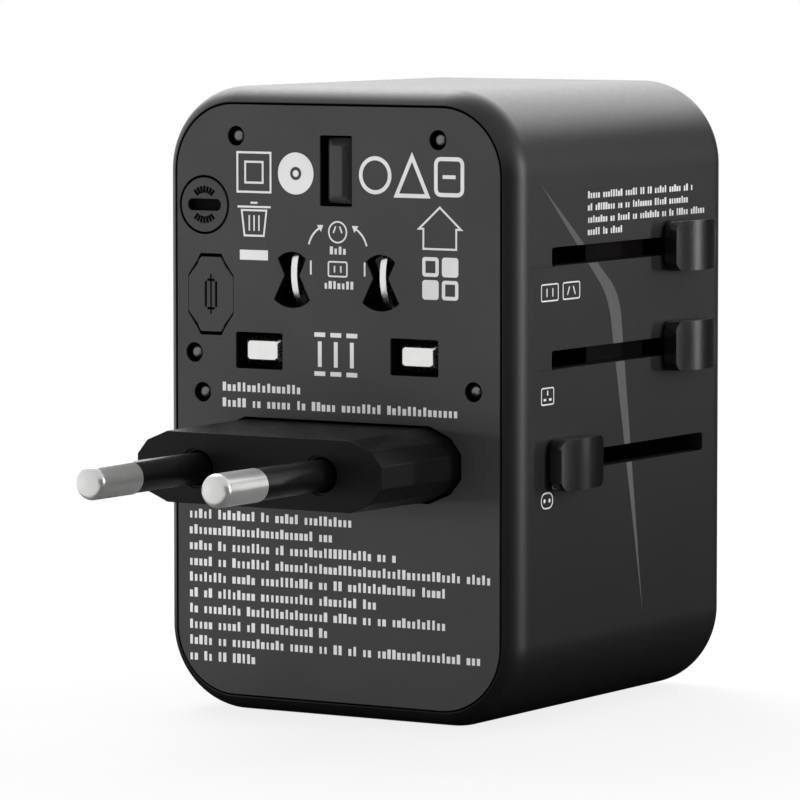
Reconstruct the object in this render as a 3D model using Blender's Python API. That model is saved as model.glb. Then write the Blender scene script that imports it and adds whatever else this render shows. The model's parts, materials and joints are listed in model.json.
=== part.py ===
"""Universal travel adapter: a rounded mains housing with three sliding plug sets and a USB charger.

The model is in metres with +Z up. It stands on its narrow bottom end, and the origin is the middle of
that end. The plug face looks along -Y, the universal socket along +Y, and the three slider knobs are on
the +X side. The European plug is out and the other two plugs are in. Sizes below are in millimetres, and
depths ("in") are counted from the plug face towards the socket face.
"""

import math

import bmesh
import bpy
from mathutils import Vector

MM = 0.001

# Overall size
WIDTH = 50.5
DEPTH = 53.2
HEIGHT = 77.0
CORNER = 10.4
WALL = 2.0
EDGE_INSET = 1.9
EDGE_DEPTH = 3.6
PLATE_GAP = 0.3
PLUG_PLATE = 2.0
SOCKET_PLATE = 2.4
MOUTH_DEPTH = 3.0
FIT = 0.3

# Standard plug patterns
LINE_Z = 44.73
UK_PIN_X = 11.11
UK_EARTH_RISE = 22.23
UK_PIN = (6.2, 3.9)
UK_EARTH = (4.0, 8.0)
UK_SLOT_GAP = 0.3
UK_TIP_DEPTH = 0.7
UK_EARTH_TIP_DEPTH = 0.1
UK_TIP_BEVEL = 0.8
UK_EARTH_TIP_BEVEL = 0.95
UK_PIN_CORNER = 0.35
UK_SLOT_CORNER = 0.3
US_BLADE_X = 6.35
US_PIVOT_RISE = 9.41
US_BLADE_UP = 2.6
US_BLADE_DOWN = 3.75
US_BLADE_THICK = 1.5
US_TIP_DEPTH = 0.5
US_TIP_BEVEL = 0.9
US_SLOT_GAP = 0.25
US_SHAFT_R = 1.8
US_FLANGE_R = 2.6
US_FLANGE = 0.9
US_TWIST = math.radians(30)
EU_PIN_X = 8.75
EU_PIN_R = 2.0
EU_SLEEVE_R = 1.9
EU_CORE_R = 1.2
EU_DROP = 12.88
EU_METAL = 9.1
EU_SLEEVE = 14.1
EU_BLOCK_HALF = (17.3, 4.3)
EU_BLOCK_DRAFT = 0.12
EU_BLOCK_OUT = 17.5
EU_BLOCK_IN = 5.5
EU_BLOCK_TIP_WIDTH = 13.6
EU_BORE_GAP = 0.25
EU_TAB_HALF = 2.1
EU_SEAM = 0.1

# Slider lanes on the +X side
US_LANE_RISE = 12.14
UK_LANE_DROP = 0.33
EU_LANE_DROP = 12.94
SLOT_HEIGHT = 2.28
SLOT_START = 8.6
SLOT_END = 46.6
SLOT_CORNER = 0.4
KNOB = (10.2, 6.2)
KNOB_CORNER = 1.5
KNOB_WALL = 1.3
KNOB_CROWN = 1.1
KNOB_BACK = 41.2
KNOB_FRONT = 12.7
NECK = (5.6, SLOT_HEIGHT - 2 * FIT)
NECK_ROOT = 0.4
ARM_THICK = 1.2
ARM_HEIGHT = 4.4
ARM_TAIL = 1.2
OVERLAP = 0.2
PAST = 1.0

# Carriages and chassis
UK_CARRIAGE_IN = 20.8
US_CARRIAGE_IN = 20.6
CARRIAGE = 3.0
UK_BAR = 3.3
UK_BAR_RISE = (-1.7, 3.3)
UK_TOP_RISE = (-3.8, 1.6)
UK_TOP_END = 3.0
US_CARRIAGE_RISE = (-4.6, 5.2)
EU_CARRIAGE = 2.0
SHELF = 1.4
SHELF_A = 38.0
SHELF_B = 24.6
WEB = 1.5
PARTITION_IN = 31.0
POST_R = 1.7
RIB_HALF = 0.7
STEP = 0.2

# Fuses and screws on the plug plate, measured from its edges
FUSE_R = 2.6
FUSE_LENGTH = 20.0
FUSE_EDGE = 4.9
FUSE_RISE = 6.72
FUSE_CAP = 4.5
FUSE_CAP_STEP = 0.2
FUSE_BACK = 0.7
FUSE_COVER = (3.3, 4.6)
SPARE_EDGE = 3.96
SPARE_RISE = 17.7
SPARE_CAP_R = 3.35
COIN_SLOT = (2.4, 0.75)
COIN_SLOT_DEPTH = 0.8
TUBE_WALL = 0.8
TUBE_SPARE = 1.0
SCREW_HEAD_R = 1.0
SCREW_SHANK_R = 0.65
SCREW_RECESS_R = 1.2
SCREW_RECESS = 1.2
SCREW_LENGTH = 7.0
SCREW_TOP_X = 14.42
SCREW_PLATE_HALF = 23.05
SCREW_TOP_EDGE = 3.83
SCREW_SPOTS = {
    "plate_screw_1": (-SCREW_TOP_X, None),
    "plate_screw_2": (SCREW_TOP_X, None),
    "plate_screw_3": (-20.59, -0.52),
    "plate_screw_4": (-19.39, -5.38),
    "plate_screw_5": (19.39, -3.8),
}

# Socket side
BOSS = 2.4
BOSS_HALF = 16.8
BOSS_TOP = 73.0
SHUTTER = 1.2
SHUTTER_HALF = (15.6, 4.15)
CONTACT = 0.5
CONTACT_RISE = 2.7
CONTACT_X = (5.5, 14.5)
CONTACT_RELIEF = 0.8
EARTH_CONTACT_HALF = 3.8
POCKET_GAP = 0.6
POCKET_FLOOR = 1.7
SOCKET_UK_HALF = (3.6, 2.4)
SOCKET_EU_X = 9.3
SOCKET_EU_R = 2.6
SOCKET_US_HALF = (1.2, 3.6)
SOCKET_EARTH_HALF = (2.4, 4.4)
SOCKET_CORNER = 0.4
SPRING_R = 0.9
SPRING_WIRE = 0.18
SPRING_TURNS = 6
SPRING_LENGTH = 11.2
LUG = 0.85

# Charger
PORT_TOP = 14.7
PORT_RECESS = 0.4
PORT_WALL = 0.35
USB_A = (5.7, 13.1)
USB_A_PITCH = 9.5
USB_A_IN = 36.0
USB_C = (3.2, 8.94)
USB_C_PITCH = 11.0
USB_C_IN = 18.5
BOARD = 1.6
USB_BOARD_HALF = 14.2
POWER_BOARD_HALF = 16.4
POWER_BOARD_IN = 10.4
BOARD_EDGE = 1.5
PORT_CUT_GAP = 0.3
USB_A_TONGUE = (0.92, 5.5)
USB_A_TONGUE_SHIFT = 0.9
USB_A_BASE = 4.0
USB_C_TONGUE = (0.35, 3.3)
USB_C_BASE = 5.0
INSERT_GAP = 0.25
CORE_X = (-15.0, -1.0)
CORE_LENGTH = 16.0
CORE_WINDOW = (3.0, 5.0, 2.4)
CORE_WINDOW_RISES = (2.5, 10.5)
PART_LIFT = 2.0
CAN_X = (4.6, 12.6)
CAN_LENGTH = 15.0
CAN_BEVEL = 0.5
INDUCTOR_HALF = 10.0
INDUCTOR_BACK = 4.0

# Derived places
HALF_W = WIDTH / 2
HALF_D = DEPTH / 2
PLATE_HALF = (HALF_W - EDGE_INSET - PLATE_GAP, HEIGHT / 2 - EDGE_INSET - PLATE_GAP)
PLATE_CORNER = CORNER - EDGE_INSET - PLATE_GAP
INNER_X = HALF_W - WALL
CHASSIS_X = INNER_X - FIT
ARM_X = CHASSIS_X - ARM_THICK
EARTH_Z = LINE_Z + UK_EARTH_RISE
PIVOT_Z = LINE_Z + US_PIVOT_RISE
EU_Z = LINE_Z - EU_DROP
LANES = {"us": LINE_Z + US_LANE_RISE, "uk": LINE_Z - UK_LANE_DROP, "eu": LINE_Z - EU_LANE_DROP}
BOSS_IN = DEPTH - SOCKET_PLATE - BOSS
SHUTTER_IN = BOSS_IN - FIT - SHUTTER
CARRIER_END = SHUTTER_IN - FIT
CARRIER_IN = PARTITION_IN + SHELF + FIT
CARRIER_BOTTOM = SHELF_A + SHELF + FIT
SPRING_ROOM = SPRING_R + SPRING_WIRE + FIT
CHANNEL_BOTTOM = LINE_Z + SHUTTER_HALF[1] - LUG - FIT
CHANNEL_TOP = LINE_Z + SHUTTER_HALF[1] + 2 * FIT + SPRING_LENGTH
TUBE_R = FUSE_R + FIT + 0.1
FUSE_START = PLUG_PLATE + FUSE_BACK
TUBE_END = FUSE_START + FUSE_LENGTH + TUBE_SPARE + TUBE_WALL
FUSE_X = -(PLATE_HALF[0] - FUSE_EDGE)
FUSE_Z = LINE_Z + FUSE_RISE
SPARE_X = -(PLATE_HALF[0] - SPARE_EDGE)
SPARE_Z = LINE_Z + SPARE_RISE
SCREW_TOP_Z = HEIGHT / 2 + PLATE_HALF[1] - SCREW_TOP_EDGE

ROUND = 20


def at(inward):
    """The Y of a plane this far in from the plug face."""
    return inward - HALF_D


# ---------------------------------------------------------------- scene and mesh helpers

def clear_scene():
    for old in list(bpy.data.objects):
        bpy.data.objects.remove(old, do_unlink=True)


def material(name, color, roughness, metallic=0.0):
    made = bpy.data.materials.new(name)
    made.use_nodes = True
    shader = made.node_tree.nodes["Principled BSDF"]
    shader.inputs["Base Color"].default_value = (*color, 1.0)
    shader.inputs["Roughness"].default_value = roughness
    shader.inputs["Metallic"].default_value = metallic
    made.diffuse_color = (*color, 1.0)
    return made


def empty(name, origin, parent=None):
    made = bpy.data.objects.new(name, None)
    bpy.context.collection.objects.link(made)
    made["origin_mm"] = origin
    made.parent = parent
    base = Vector(parent["origin_mm"]) if parent else Vector((0, 0, 0))
    made.location = (Vector(origin) - base) * MM
    return made


def object_from(name, faces_mesh, finish, origin=(0, 0, 0), parent=None, smooth=False):
    """An object from a bmesh in millimetres, with its own origin, parent and material."""
    bmesh.ops.recalc_face_normals(faces_mesh, faces=faces_mesh.faces)
    bmesh.ops.translate(faces_mesh, verts=faces_mesh.verts, vec=-Vector(origin))
    bmesh.ops.scale(faces_mesh, verts=faces_mesh.verts, vec=(MM, MM, MM))
    mesh = bpy.data.meshes.new(name)
    faces_mesh.to_mesh(mesh)
    faces_mesh.free()
    if smooth:
        mesh.shade_smooth()
        mesh.set_sharp_from_angle(angle=math.radians(35))
    made = bpy.data.objects.new(name, mesh)
    bpy.context.collection.objects.link(made)
    made.parent = parent
    base = Vector(parent["origin_mm"]) if parent else Vector((0, 0, 0))
    made.location = (Vector(origin) - base) * MM
    if finish:
        mesh.materials.append(finish)
    return made


def loft(rings, closed=False):
    """A closed skin over rings of equal length, joined end to end or round to the first."""
    mesh = bmesh.new()
    rows = [[mesh.verts.new(point) for point in ring] for ring in rings]
    pairs = list(zip(rows, rows[1:]))
    if closed:
        pairs.append((rows[-1], rows[0]))
    for near, far in pairs:
        for i in range(len(near)):
            j = (i + 1) % len(near)
            mesh.faces.new((near[i], near[j], far[j], far[i]))
    if not closed:
        mesh.faces.new(list(reversed(rows[0])))
        mesh.faces.new(rows[-1])
    return mesh


def spread(point, along, value):
    """A 2-D point put into space, with its missing coordinate given."""
    if along == "x":
        return (value, point[0], point[1])
    if along == "y":
        return (point[0], value, point[1])
    return (point[0], point[1], value)


def prism(outline, along, start, end):
    return loft([[spread(point, along, value) for point in outline] for value in (start, end)])


def box_outline(low, high):
    return [(low[0], low[1]), (high[0], low[1]), (high[0], high[1]), (low[0], high[1])]


def box(low, high):
    return prism(box_outline(low, high), "z", low[2], high[2])


def rounded(half, corner, center=(0, 0), steps=6):
    """A rectangle's outline with round corners."""
    outline = []
    for sign_u, sign_v, turn in ((1, 1, 0), (-1, 1, 90), (-1, -1, 180), (1, -1, 270)):
        for step in range(steps + 1):
            angle = math.radians(turn + 90 * step / steps)
            u = center[0] + sign_u * (half[0] - corner) + corner * math.cos(angle)
            v = center[1] + sign_v * (half[1] - corner) + corner * math.sin(angle)
            outline.append((u, v))
    return outline


def circle(radius, center, count=ROUND):
    turns = [2 * math.pi * step / count for step in range(count)]
    return [(center[0] + radius * math.cos(a), center[1] + radius * math.sin(a)) for a in turns]


def helper(name, faces_mesh):
    """A hidden cutter or a piece to weld on, which isn't a sub-part itself."""
    made = object_from(name, faces_mesh, None)
    made.hide_render = True
    made.display_type = "WIRE"
    return made


def combine(target, operation, pieces):
    for count, piece in enumerate(pieces):
        tool = helper(f"{target.name}_{operation.lower()}_{len(target.modifiers)}_{count}", piece)
        modifier = target.modifiers.new(tool.name, "BOOLEAN")
        modifier.operation = operation
        modifier.solver = "EXACT"
        modifier.object = tool


def cut(target, *pieces):
    combine(target, "DIFFERENCE", pieces)


def weld(target, *pieces):
    combine(target, "UNION", pieces)


# ---------------------------------------------------------------- housing

def housing_outline(inset):
    half = (HALF_W - inset, HEIGHT / 2 - inset)
    return rounded(half, CORNER - inset, (0, HEIGHT / 2), 8)


def edge_profile(steps=5):
    """Inset and depth along the rounded rim, from its mouth to the flat side."""
    radius = (EDGE_INSET ** 2 + EDGE_DEPTH ** 2) / (2 * EDGE_INSET)
    sweep = math.asin(EDGE_DEPTH / radius)
    stops = [sweep * (1 - step / steps) for step in range(steps + 1)]
    return [(radius * (1 - math.cos(a)), EDGE_DEPTH - radius * math.sin(a)) for a in stops]


def slot_cutter(lane):
    half = ((SLOT_END - SLOT_START) / 2, SLOT_HEIGHT / 2)
    middle = (at((SLOT_START + SLOT_END) / 2), lane)
    return prism(rounded(half, SLOT_CORNER, middle, 2), "x", INNER_X - PAST, HALF_W + PAST)


def port_places():
    """Each USB port's name, size and middle on the bottom end."""
    places = []
    for number in (-1, 0, 1):
        places.append((f"usb_a_{number + 2}", USB_A, number * USB_A_PITCH, USB_A_IN))
    for number in (0, 1):
        places.append((f"usb_c_{number + 1}", USB_C, (number - 0.5) * USB_C_PITCH, USB_C_IN))
    return places


def port_outline(size, middle, grow):
    half = (size[0] / 2 + grow, size[1] / 2 + grow)
    corner = half[0] * 0.95 if size is USB_C else 0.5
    return rounded(half, corner, middle, 5 if size is USB_C else 2)


def make_shell(finish):
    rim = edge_profile()
    back = [(inset, DEPTH - depth) for inset, depth in reversed(rim)]
    inside = [(EDGE_INSET, DEPTH - MOUTH_DEPTH), (WALL, DEPTH - MOUTH_DEPTH)]
    inside += [(WALL, MOUTH_DEPTH), (EDGE_INSET, MOUTH_DEPTH)]
    rings = []
    for inset, depth in rim + back + inside:
        rings.append([(u, at(depth), v) for u, v in housing_outline(inset)])
    shell = object_from("housing_shell", loft(rings, closed=True), finish, smooth=True)
    cut(shell, *[slot_cutter(lane) for lane in LANES.values()])
    for _, size, x, inward in port_places():
        outline = port_outline(size, (x, at(inward)), PORT_CUT_GAP)
        cut(shell, prism(outline, "z", -PAST, WALL + PAST))
    return shell


def plate_blank(start, end):
    outline = rounded(PLATE_HALF, PLATE_CORNER, (0, HEIGHT / 2), 8)
    return prism(outline, "y", at(start), at(end))


def twist_slot(x):
    """A bow-tie outline: the blade's outline turned both ways, with straight flanks to its waist."""
    half = US_BLADE_THICK / 2 + US_SLOT_GAP
    up = US_BLADE_UP + US_SLOT_GAP
    down = US_BLADE_DOWN + US_SLOT_GAP
    spread_up = (up * math.sin(US_TWIST) + half * math.cos(US_TWIST), up * math.cos(US_TWIST))
    spread_down = (down * math.sin(US_TWIST) + half * math.cos(US_TWIST), down * math.cos(US_TWIST))
    outline = [
        (half / math.cos(US_TWIST), 0),
        spread_up,
        (up * 0.45, up * 0.97),
        (0, up + 0.1),
        (-up * 0.45, up * 0.97),
        (-spread_up[0], spread_up[1]),
        (-half / math.cos(US_TWIST), 0),
        (-spread_down[0], -spread_down[1]),
        (-down * 0.4, -down * 0.97),
        (0, -down - 0.1),
        (down * 0.4, -down * 0.97),
        (spread_down[0], -spread_down[1]),
    ]
    return [(x + u, PIVOT_Z + v) for u, v in outline]


def eu_outline(grow=0.0):
    """The European plug's six-sided outline, with its two end points blunted."""
    half_w = EU_BLOCK_HALF[0] + grow
    half_h = EU_BLOCK_HALF[1] + grow
    shoulder = EU_BLOCK_TIP_WIDTH + grow / 2
    blunt = half_h * 0.32
    mid = ((half_w + shoulder) / 2 + 0.45, half_h * 0.72)
    right = [(half_w, -blunt), (half_w, blunt), mid, (shoulder - 0.6, half_h)]
    left = [(-shoulder + 0.6, half_h), (-mid[0], mid[1]), (-half_w, blunt), (-half_w, -blunt)]
    low = [(-mid[0], -mid[1]), (-shoulder + 0.6, -half_h), (shoulder - 0.6, -half_h), (mid[0], -mid[1])]
    return [(u, EU_Z + v) for u, v in right + left + low]


def fuse_cover_outline(grow=0.0):
    """The fuse cover: an octagon with a tab at its top and bottom."""
    half_w = FUSE_COVER[0] + grow
    half_h = FUSE_COVER[1] + grow
    side = half_h * 0.44
    tab = half_w * 0.55
    shoulder = half_h * 0.86
    quarter = [(half_w, side), (tab, shoulder), (tab * 0.8, half_h)]
    outline = quarter + [(-u, v) for u, v in reversed(quarter)]
    outline += [(-u, -v) for u, v in quarter] + [(u, -v) for u, v in reversed(quarter)]
    return [(FUSE_X + u, FUSE_Z + v) for u, v in outline]


def screw_spots():
    """Each screw's name and place on the plug plate."""
    spots = {}
    for name, (x, rise) in SCREW_SPOTS.items():
        if rise is None:
            spots[name] = (x, SCREW_TOP_Z)
        else:
            edge = math.copysign(PLATE_HALF[0], x) - math.copysign(SCREW_PLATE_HALF, x)
            spots[name] = (x + edge, LINE_Z + rise)
    return spots


def make_plug_plate(finish):
    plate = object_from("plug_face_plate", plate_blank(0, PLUG_PLATE), finish, smooth=True)
    front, back = at(-PAST), at(PLUG_PLATE + PAST)
    for side in (-1, 1):
        half = (UK_PIN[0] / 2 + UK_SLOT_GAP, UK_PIN[1] / 2 + UK_SLOT_GAP)
        cut(plate, prism(rounded(half, UK_SLOT_CORNER, (side * UK_PIN_X, LINE_Z), 2), "y", front, back))
        cut(plate, prism(twist_slot(side * US_BLADE_X), "y", front, back))
    half = (UK_EARTH[0] / 2 + UK_SLOT_GAP, UK_EARTH[1] / 2 + UK_SLOT_GAP)
    cut(plate, prism(rounded(half, UK_SLOT_CORNER, (0, EARTH_Z), 2), "y", front, back))
    cut(plate, prism(eu_outline(EU_BLOCK_DRAFT + FIT), "y", front, back))
    cut(plate, prism(fuse_cover_outline(FIT), "y", front, back))
    cut(plate, prism(circle(SPARE_CAP_R + FIT, (SPARE_X, SPARE_Z), 28), "y", front, back))
    for spot in screw_spots().values():
        cut(plate, prism(circle(SCREW_SHANK_R + FIT, spot, 10), "y", at(SCREW_RECESS / 2), back))
        cut(plate, prism(circle(SCREW_RECESS_R, spot, 14), "y", front, at(SCREW_RECESS)))
    return plate


def make_screws(finish):
    for name, (x, z) in screw_spots().items():
        seat = SCREW_RECESS - 0.1
        profile = [(SCREW_HEAD_R * 0.55, 0.3), (SCREW_HEAD_R * 0.9, 0.5), (SCREW_HEAD_R, 0.8)]
        profile += [(SCREW_HEAD_R, seat), (SCREW_SHANK_R, seat)]
        profile += [(SCREW_SHANK_R, SCREW_LENGTH)]
        rings = [[(u, at(d), v) for u, v in circle(r, (x, z), 12)] for r, d in profile]
        object_from(name, loft(rings), finish, smooth=True)


def make_socket_plate(finish):
    plate = object_from(
        "socket_face_plate", plate_blank(DEPTH - SOCKET_PLATE, DEPTH), finish, smooth=True
    )
    low = (-BOSS_HALF, at(BOSS_IN), CARRIER_BOTTOM)
    high = (BOSS_HALF, at(DEPTH - SOCKET_PLATE + OVERLAP), BOSS_TOP)
    weld(plate, box(low, high))
    start, end = at(BOSS_IN - PAST), at(DEPTH + PAST)
    for side in (-1, 1):
        uk_middle = (side * UK_PIN_X, LINE_Z)
        cut(plate, prism(rounded(SOCKET_UK_HALF, SOCKET_CORNER, uk_middle, 2), "y", start, end))
        cut(plate, prism(circle(SOCKET_EU_R, (side * SOCKET_EU_X, LINE_Z), 24), "y", start, end))
        us_middle = (side * US_BLADE_X, LINE_Z)
        cut(plate, prism(rounded(SOCKET_US_HALF, SOCKET_CORNER, us_middle, 2), "y", start, end))
    cut(plate, prism(rounded(SOCKET_EARTH_HALF, SOCKET_CORNER, (0, EARTH_Z), 2), "y", start, end))
    return plate


# ---------------------------------------------------------------- chassis and contacts

def make_chassis(finish):
    """The inner frame: a web, two shelves, a partition, screw posts and fuse tubes in one moulding."""
    start, end = PLUG_PLATE + FIT, DEPTH - SOCKET_PLATE - FIT
    top = HEIGHT - WALL - FIT
    web_low = (-CHASSIS_X, at(start), SHELF_B)
    web = box(web_low, (-CHASSIS_X + WEB, at(end), top))
    chassis = object_from("chassis", web, finish)
    for level in (SHELF_A, SHELF_B):
        shelf_low = (-CHASSIS_X + STEP, at(start), level)
        weld(chassis, box(shelf_low, (CHASSIS_X, at(end), level + SHELF)))
    wall_low = (-CHASSIS_X + 2 * STEP, at(PARTITION_IN), SHELF_A + SHELF / 2)
    weld(chassis, box(wall_low, (ARM_X - FIT, at(PARTITION_IN + SHELF), top - STEP)))
    for spot in screw_spots().values():
        post = prism(circle(POST_R, spot, 14), "y", at(start), at(PARTITION_IN + SHELF / 2))
        weld(chassis, post)
    x, z = screw_spots()["plate_screw_5"]
    rib_low = (x - RIB_HALF, at(start + STEP), SHELF_A + SHELF / 2)
    weld(chassis, box(rib_low, (x + RIB_HALF, at(PARTITION_IN + STEP), z)))
    tubes = ((FUSE_X, FUSE_Z), (SPARE_X, SPARE_Z))
    for spot in tubes:
        weld(chassis, prism(circle(TUBE_R + TUBE_WALL, spot, 24), "y", at(start), at(TUBE_END)))
    room_half = (CHASSIS_X, HEIGHT / 2 - WALL - FIT)
    room = rounded(room_half, CORNER - WALL - FIT, (0, HEIGHT / 2), 6)
    combine(chassis, "INTERSECT", [prism(room, "y", at(0), at(DEPTH))])
    for spot in tubes:
        cut(chassis, prism(circle(TUBE_R, spot, 20), "y", at(0), at(TUBE_END - TUBE_WALL)))
    for spot in screw_spots().values():
        hole = circle(SCREW_SHANK_R + FIT, spot, 10)
        cut(chassis, prism(hole, "y", at(0), at(SCREW_LENGTH + PAST)))
    return chassis


def make_contact_carrier(finish):
    low = (-BOSS_HALF, at(CARRIER_IN), CARRIER_BOTTOM)
    carrier = object_from(
        "contact_carrier", box(low, (BOSS_HALF, at(CARRIER_END), BOSS_TOP)), finish
    )
    floor = at(CARRIER_IN + POCKET_FLOOR)
    mouth = at(CARRIER_END + PAST)
    half_u = (CONTACT_X[1] - CONTACT_X[0]) / 2 + POCKET_GAP
    half_v = CONTACT_RISE + CONTACT + POCKET_GAP
    for side in (-1, 1):
        middle = side * (CONTACT_X[0] + CONTACT_X[1]) / 2
        low = (middle - half_u, floor, LINE_Z - half_v)
        cut(carrier, box(low, (middle + half_u, mouth, LINE_Z + half_v)))
    half_u = SOCKET_EARTH_HALF[0] + CONTACT + FIT
    half_v = EARTH_CONTACT_HALF + POCKET_GAP
    earth_low = (-half_u, floor, EARTH_Z - half_v)
    cut(carrier, box(earth_low, (half_u, mouth, EARTH_Z + half_v)))
    channel_low = (-SPRING_ROOM, at(CARRIER_END - 2 * SPRING_ROOM), CHANNEL_BOTTOM)
    cut(carrier, box(channel_low, (SPRING_ROOM, mouth, CHANNEL_TOP)))
    return carrier


def make_contacts(finish):
    """The sprung clips that grip a plug's pins: two U-shaped ones and one for the earth pin."""
    floor = CARRIER_IN + POCKET_FLOOR + FIT
    tip = CARRIER_END - CONTACT_RELIEF
    near, far = CONTACT_RISE, CONTACT_RISE + CONTACT
    u_shape = [(at(floor), LINE_Z - far), (at(tip), LINE_Z - far), (at(tip), LINE_Z - near)]
    u_shape += [(at(floor + CONTACT), LINE_Z - near), (at(floor + CONTACT), LINE_Z + near)]
    u_shape += [(at(tip), LINE_Z + near), (at(tip), LINE_Z + far), (at(floor), LINE_Z + far)]
    object_from("live_contact", prism(u_shape, "x", -CONTACT_X[1], -CONTACT_X[0]), finish)
    object_from("neutral_contact", prism(u_shape, "x", CONTACT_X[0], CONTACT_X[1]), finish)
    inner = SOCKET_EARTH_HALF[0]
    outer = inner + CONTACT
    clip = [(-outer, at(floor)), (outer, at(floor)), (outer, at(tip)), (inner, at(tip))]
    clip += [(inner, at(floor + CONTACT)), (-inner, at(floor + CONTACT))]
    clip += [(-inner, at(tip)), (-outer, at(tip))]
    low, high = EARTH_Z - EARTH_CONTACT_HALF, EARTH_Z + EARTH_CONTACT_HALF
    object_from("earth_contact", prism(clip, "z", low, high), finish)


def make_shutter(finish, spring_finish, lift):
    """The plate that shuts the pin holes, with a lug that a coil spring pushes down on."""
    half_w, half_h = SHUTTER_HALF
    low = (-half_w, at(SHUTTER_IN), LINE_Z - half_h)
    high = (half_w, at(SHUTTER_IN + SHUTTER), LINE_Z + half_h)
    origin = (0, at(SHUTTER_IN + SHUTTER / 2), LINE_Z)
    shutter = object_from("socket_shutter", box(low, high), finish, origin, lift)
    lug_half = SPRING_ROOM - FIT
    lug_start = at(CARRIER_END - 2 * SPRING_ROOM + FIT)
    lug_low = (-lug_half, lug_start, LINE_Z + half_h - LUG)
    lug_high = (lug_half, at(SHUTTER_IN + OVERLAP), LINE_Z + half_h)
    weld(shutter, box(lug_low, lug_high))
    bottom = LINE_Z + half_h + FIT
    middle = at(CARRIER_END - SPRING_R - SPRING_WIRE)
    per_turn = 12
    count = SPRING_TURNS * per_turn
    rings = []
    for step in range(count + 1):
        turn = 2 * math.pi * step / per_turn
        height = SPRING_WIRE + (SPRING_LENGTH - 2 * SPRING_WIRE) * step / count
        out = Vector((math.cos(turn), math.sin(turn), 0))
        center = Vector((0, middle, bottom + height)) + out * SPRING_R
        ring = []
        for side in range(6):
            a = 2 * math.pi * side / 6
            ring.append(center + SPRING_WIRE * (out * math.cos(a) + Vector((0, 0, math.sin(a)))))
        rings.append(ring)
    object_from("shutter_spring", loft(rings), spring_finish, smooth=True)


# ---------------------------------------------------------------- fuses

def make_fuses(cover_finish, glass, brass, cover_parent, cap_parent):
    cover = prism(fuse_cover_outline(), "y", at(0), at(PLUG_PLATE))
    object_from("fuse_cover", cover, cover_finish, (FUSE_X, at(0), FUSE_Z), cover_parent)
    cap_mesh = prism(circle(SPARE_CAP_R, (SPARE_X, SPARE_Z), 28), "y", at(0), at(PLUG_PLATE))
    origin = (SPARE_X, at(0), SPARE_Z)
    cap = object_from("spare_fuse_cap", cap_mesh, cover_finish, origin, cap_parent, smooth=True)
    coin_slot = rounded(COIN_SLOT, COIN_SLOT[1] * 0.93, origin[::2], 3)
    cut(cap, prism(coin_slot, "y", at(-PAST), at(COIN_SLOT_DEPTH)))
    for name, spot in (("main_fuse", (FUSE_X, FUSE_Z)), ("spare_fuse", (SPARE_X, SPARE_Z))):
        rings = []
        waist = FUSE_R - FUSE_CAP_STEP
        stops = [(FUSE_R, 0), (FUSE_R, FUSE_CAP), (waist, FUSE_CAP)]
        stops += [(waist, FUSE_LENGTH - FUSE_CAP), (FUSE_R, FUSE_LENGTH - FUSE_CAP)]
        stops += [(FUSE_R, FUSE_LENGTH)]
        for radius, along in stops:
            rings.append([(u, at(FUSE_START + along), v) for u, v in circle(radius, spot, 18)])
        object_from(name, loft(rings), glass, smooth=True)
    start = FUSE_START + FUSE_LENGTH + FIT
    disc = prism(circle(FUSE_R - FIT, (FUSE_X, FUSE_Z), 14), "y", at(start), at(start + CONTACT))
    object_from("fuse_contact", disc, brass)


# ---------------------------------------------------------------- sliders

def arm_mesh(lane, start, end):
    low = (ARM_X, at(start), lane - ARM_HEIGHT / 2)
    return box(low, (CHASSIS_X, at(end), lane + ARM_HEIGHT / 2))


def neck_mesh(lane, middle):
    low = (CHASSIS_X - NECK_ROOT, at(middle - NECK[0] / 2), lane - NECK[1] / 2)
    return box(low, (HALF_W + 2 * FIT, at(middle + NECK[0] / 2), lane + NECK[1] / 2))


def make_knob(name, lane, middle, finish, parent):
    """A crowned, round-cornered cap that clips over the slider's neck."""
    half_y = KNOB[0] / 2
    base = HALF_W + FIT
    steps = 8
    profile = [(base, at(middle + half_y)), (base, at(middle - half_y))]
    for step in range(steps + 1):
        across = -1 + 2 * step / steps
        rise = KNOB_CROWN * (1 - across ** 2)
        profile.append((base + KNOB_WALL + rise, at(middle + across * half_y)))
    crowned = prism(profile, "z", lane - KNOB[1], lane + KNOB[1])
    knob = object_from(name, crowned, finish, (base, at(middle), lane), parent, smooth=True)
    outline = rounded((half_y, KNOB[1] / 2), KNOB_CORNER, (at(middle), lane), 5)
    far = base + KNOB_WALL + KNOB_CROWN + PAST
    combine(knob, "INTERSECT", [prism(outline, "x", base - PAST, far)])
    pocket_low = (base - PAST, at(middle - NECK[0] / 2 - FIT), lane - NECK[1] / 2 - FIT)
    pocket_high = (base + 2 * FIT, at(middle + NECK[0] / 2 + FIT), lane + NECK[1] / 2 + FIT)
    cut(knob, box(pocket_low, pocket_high))


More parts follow.
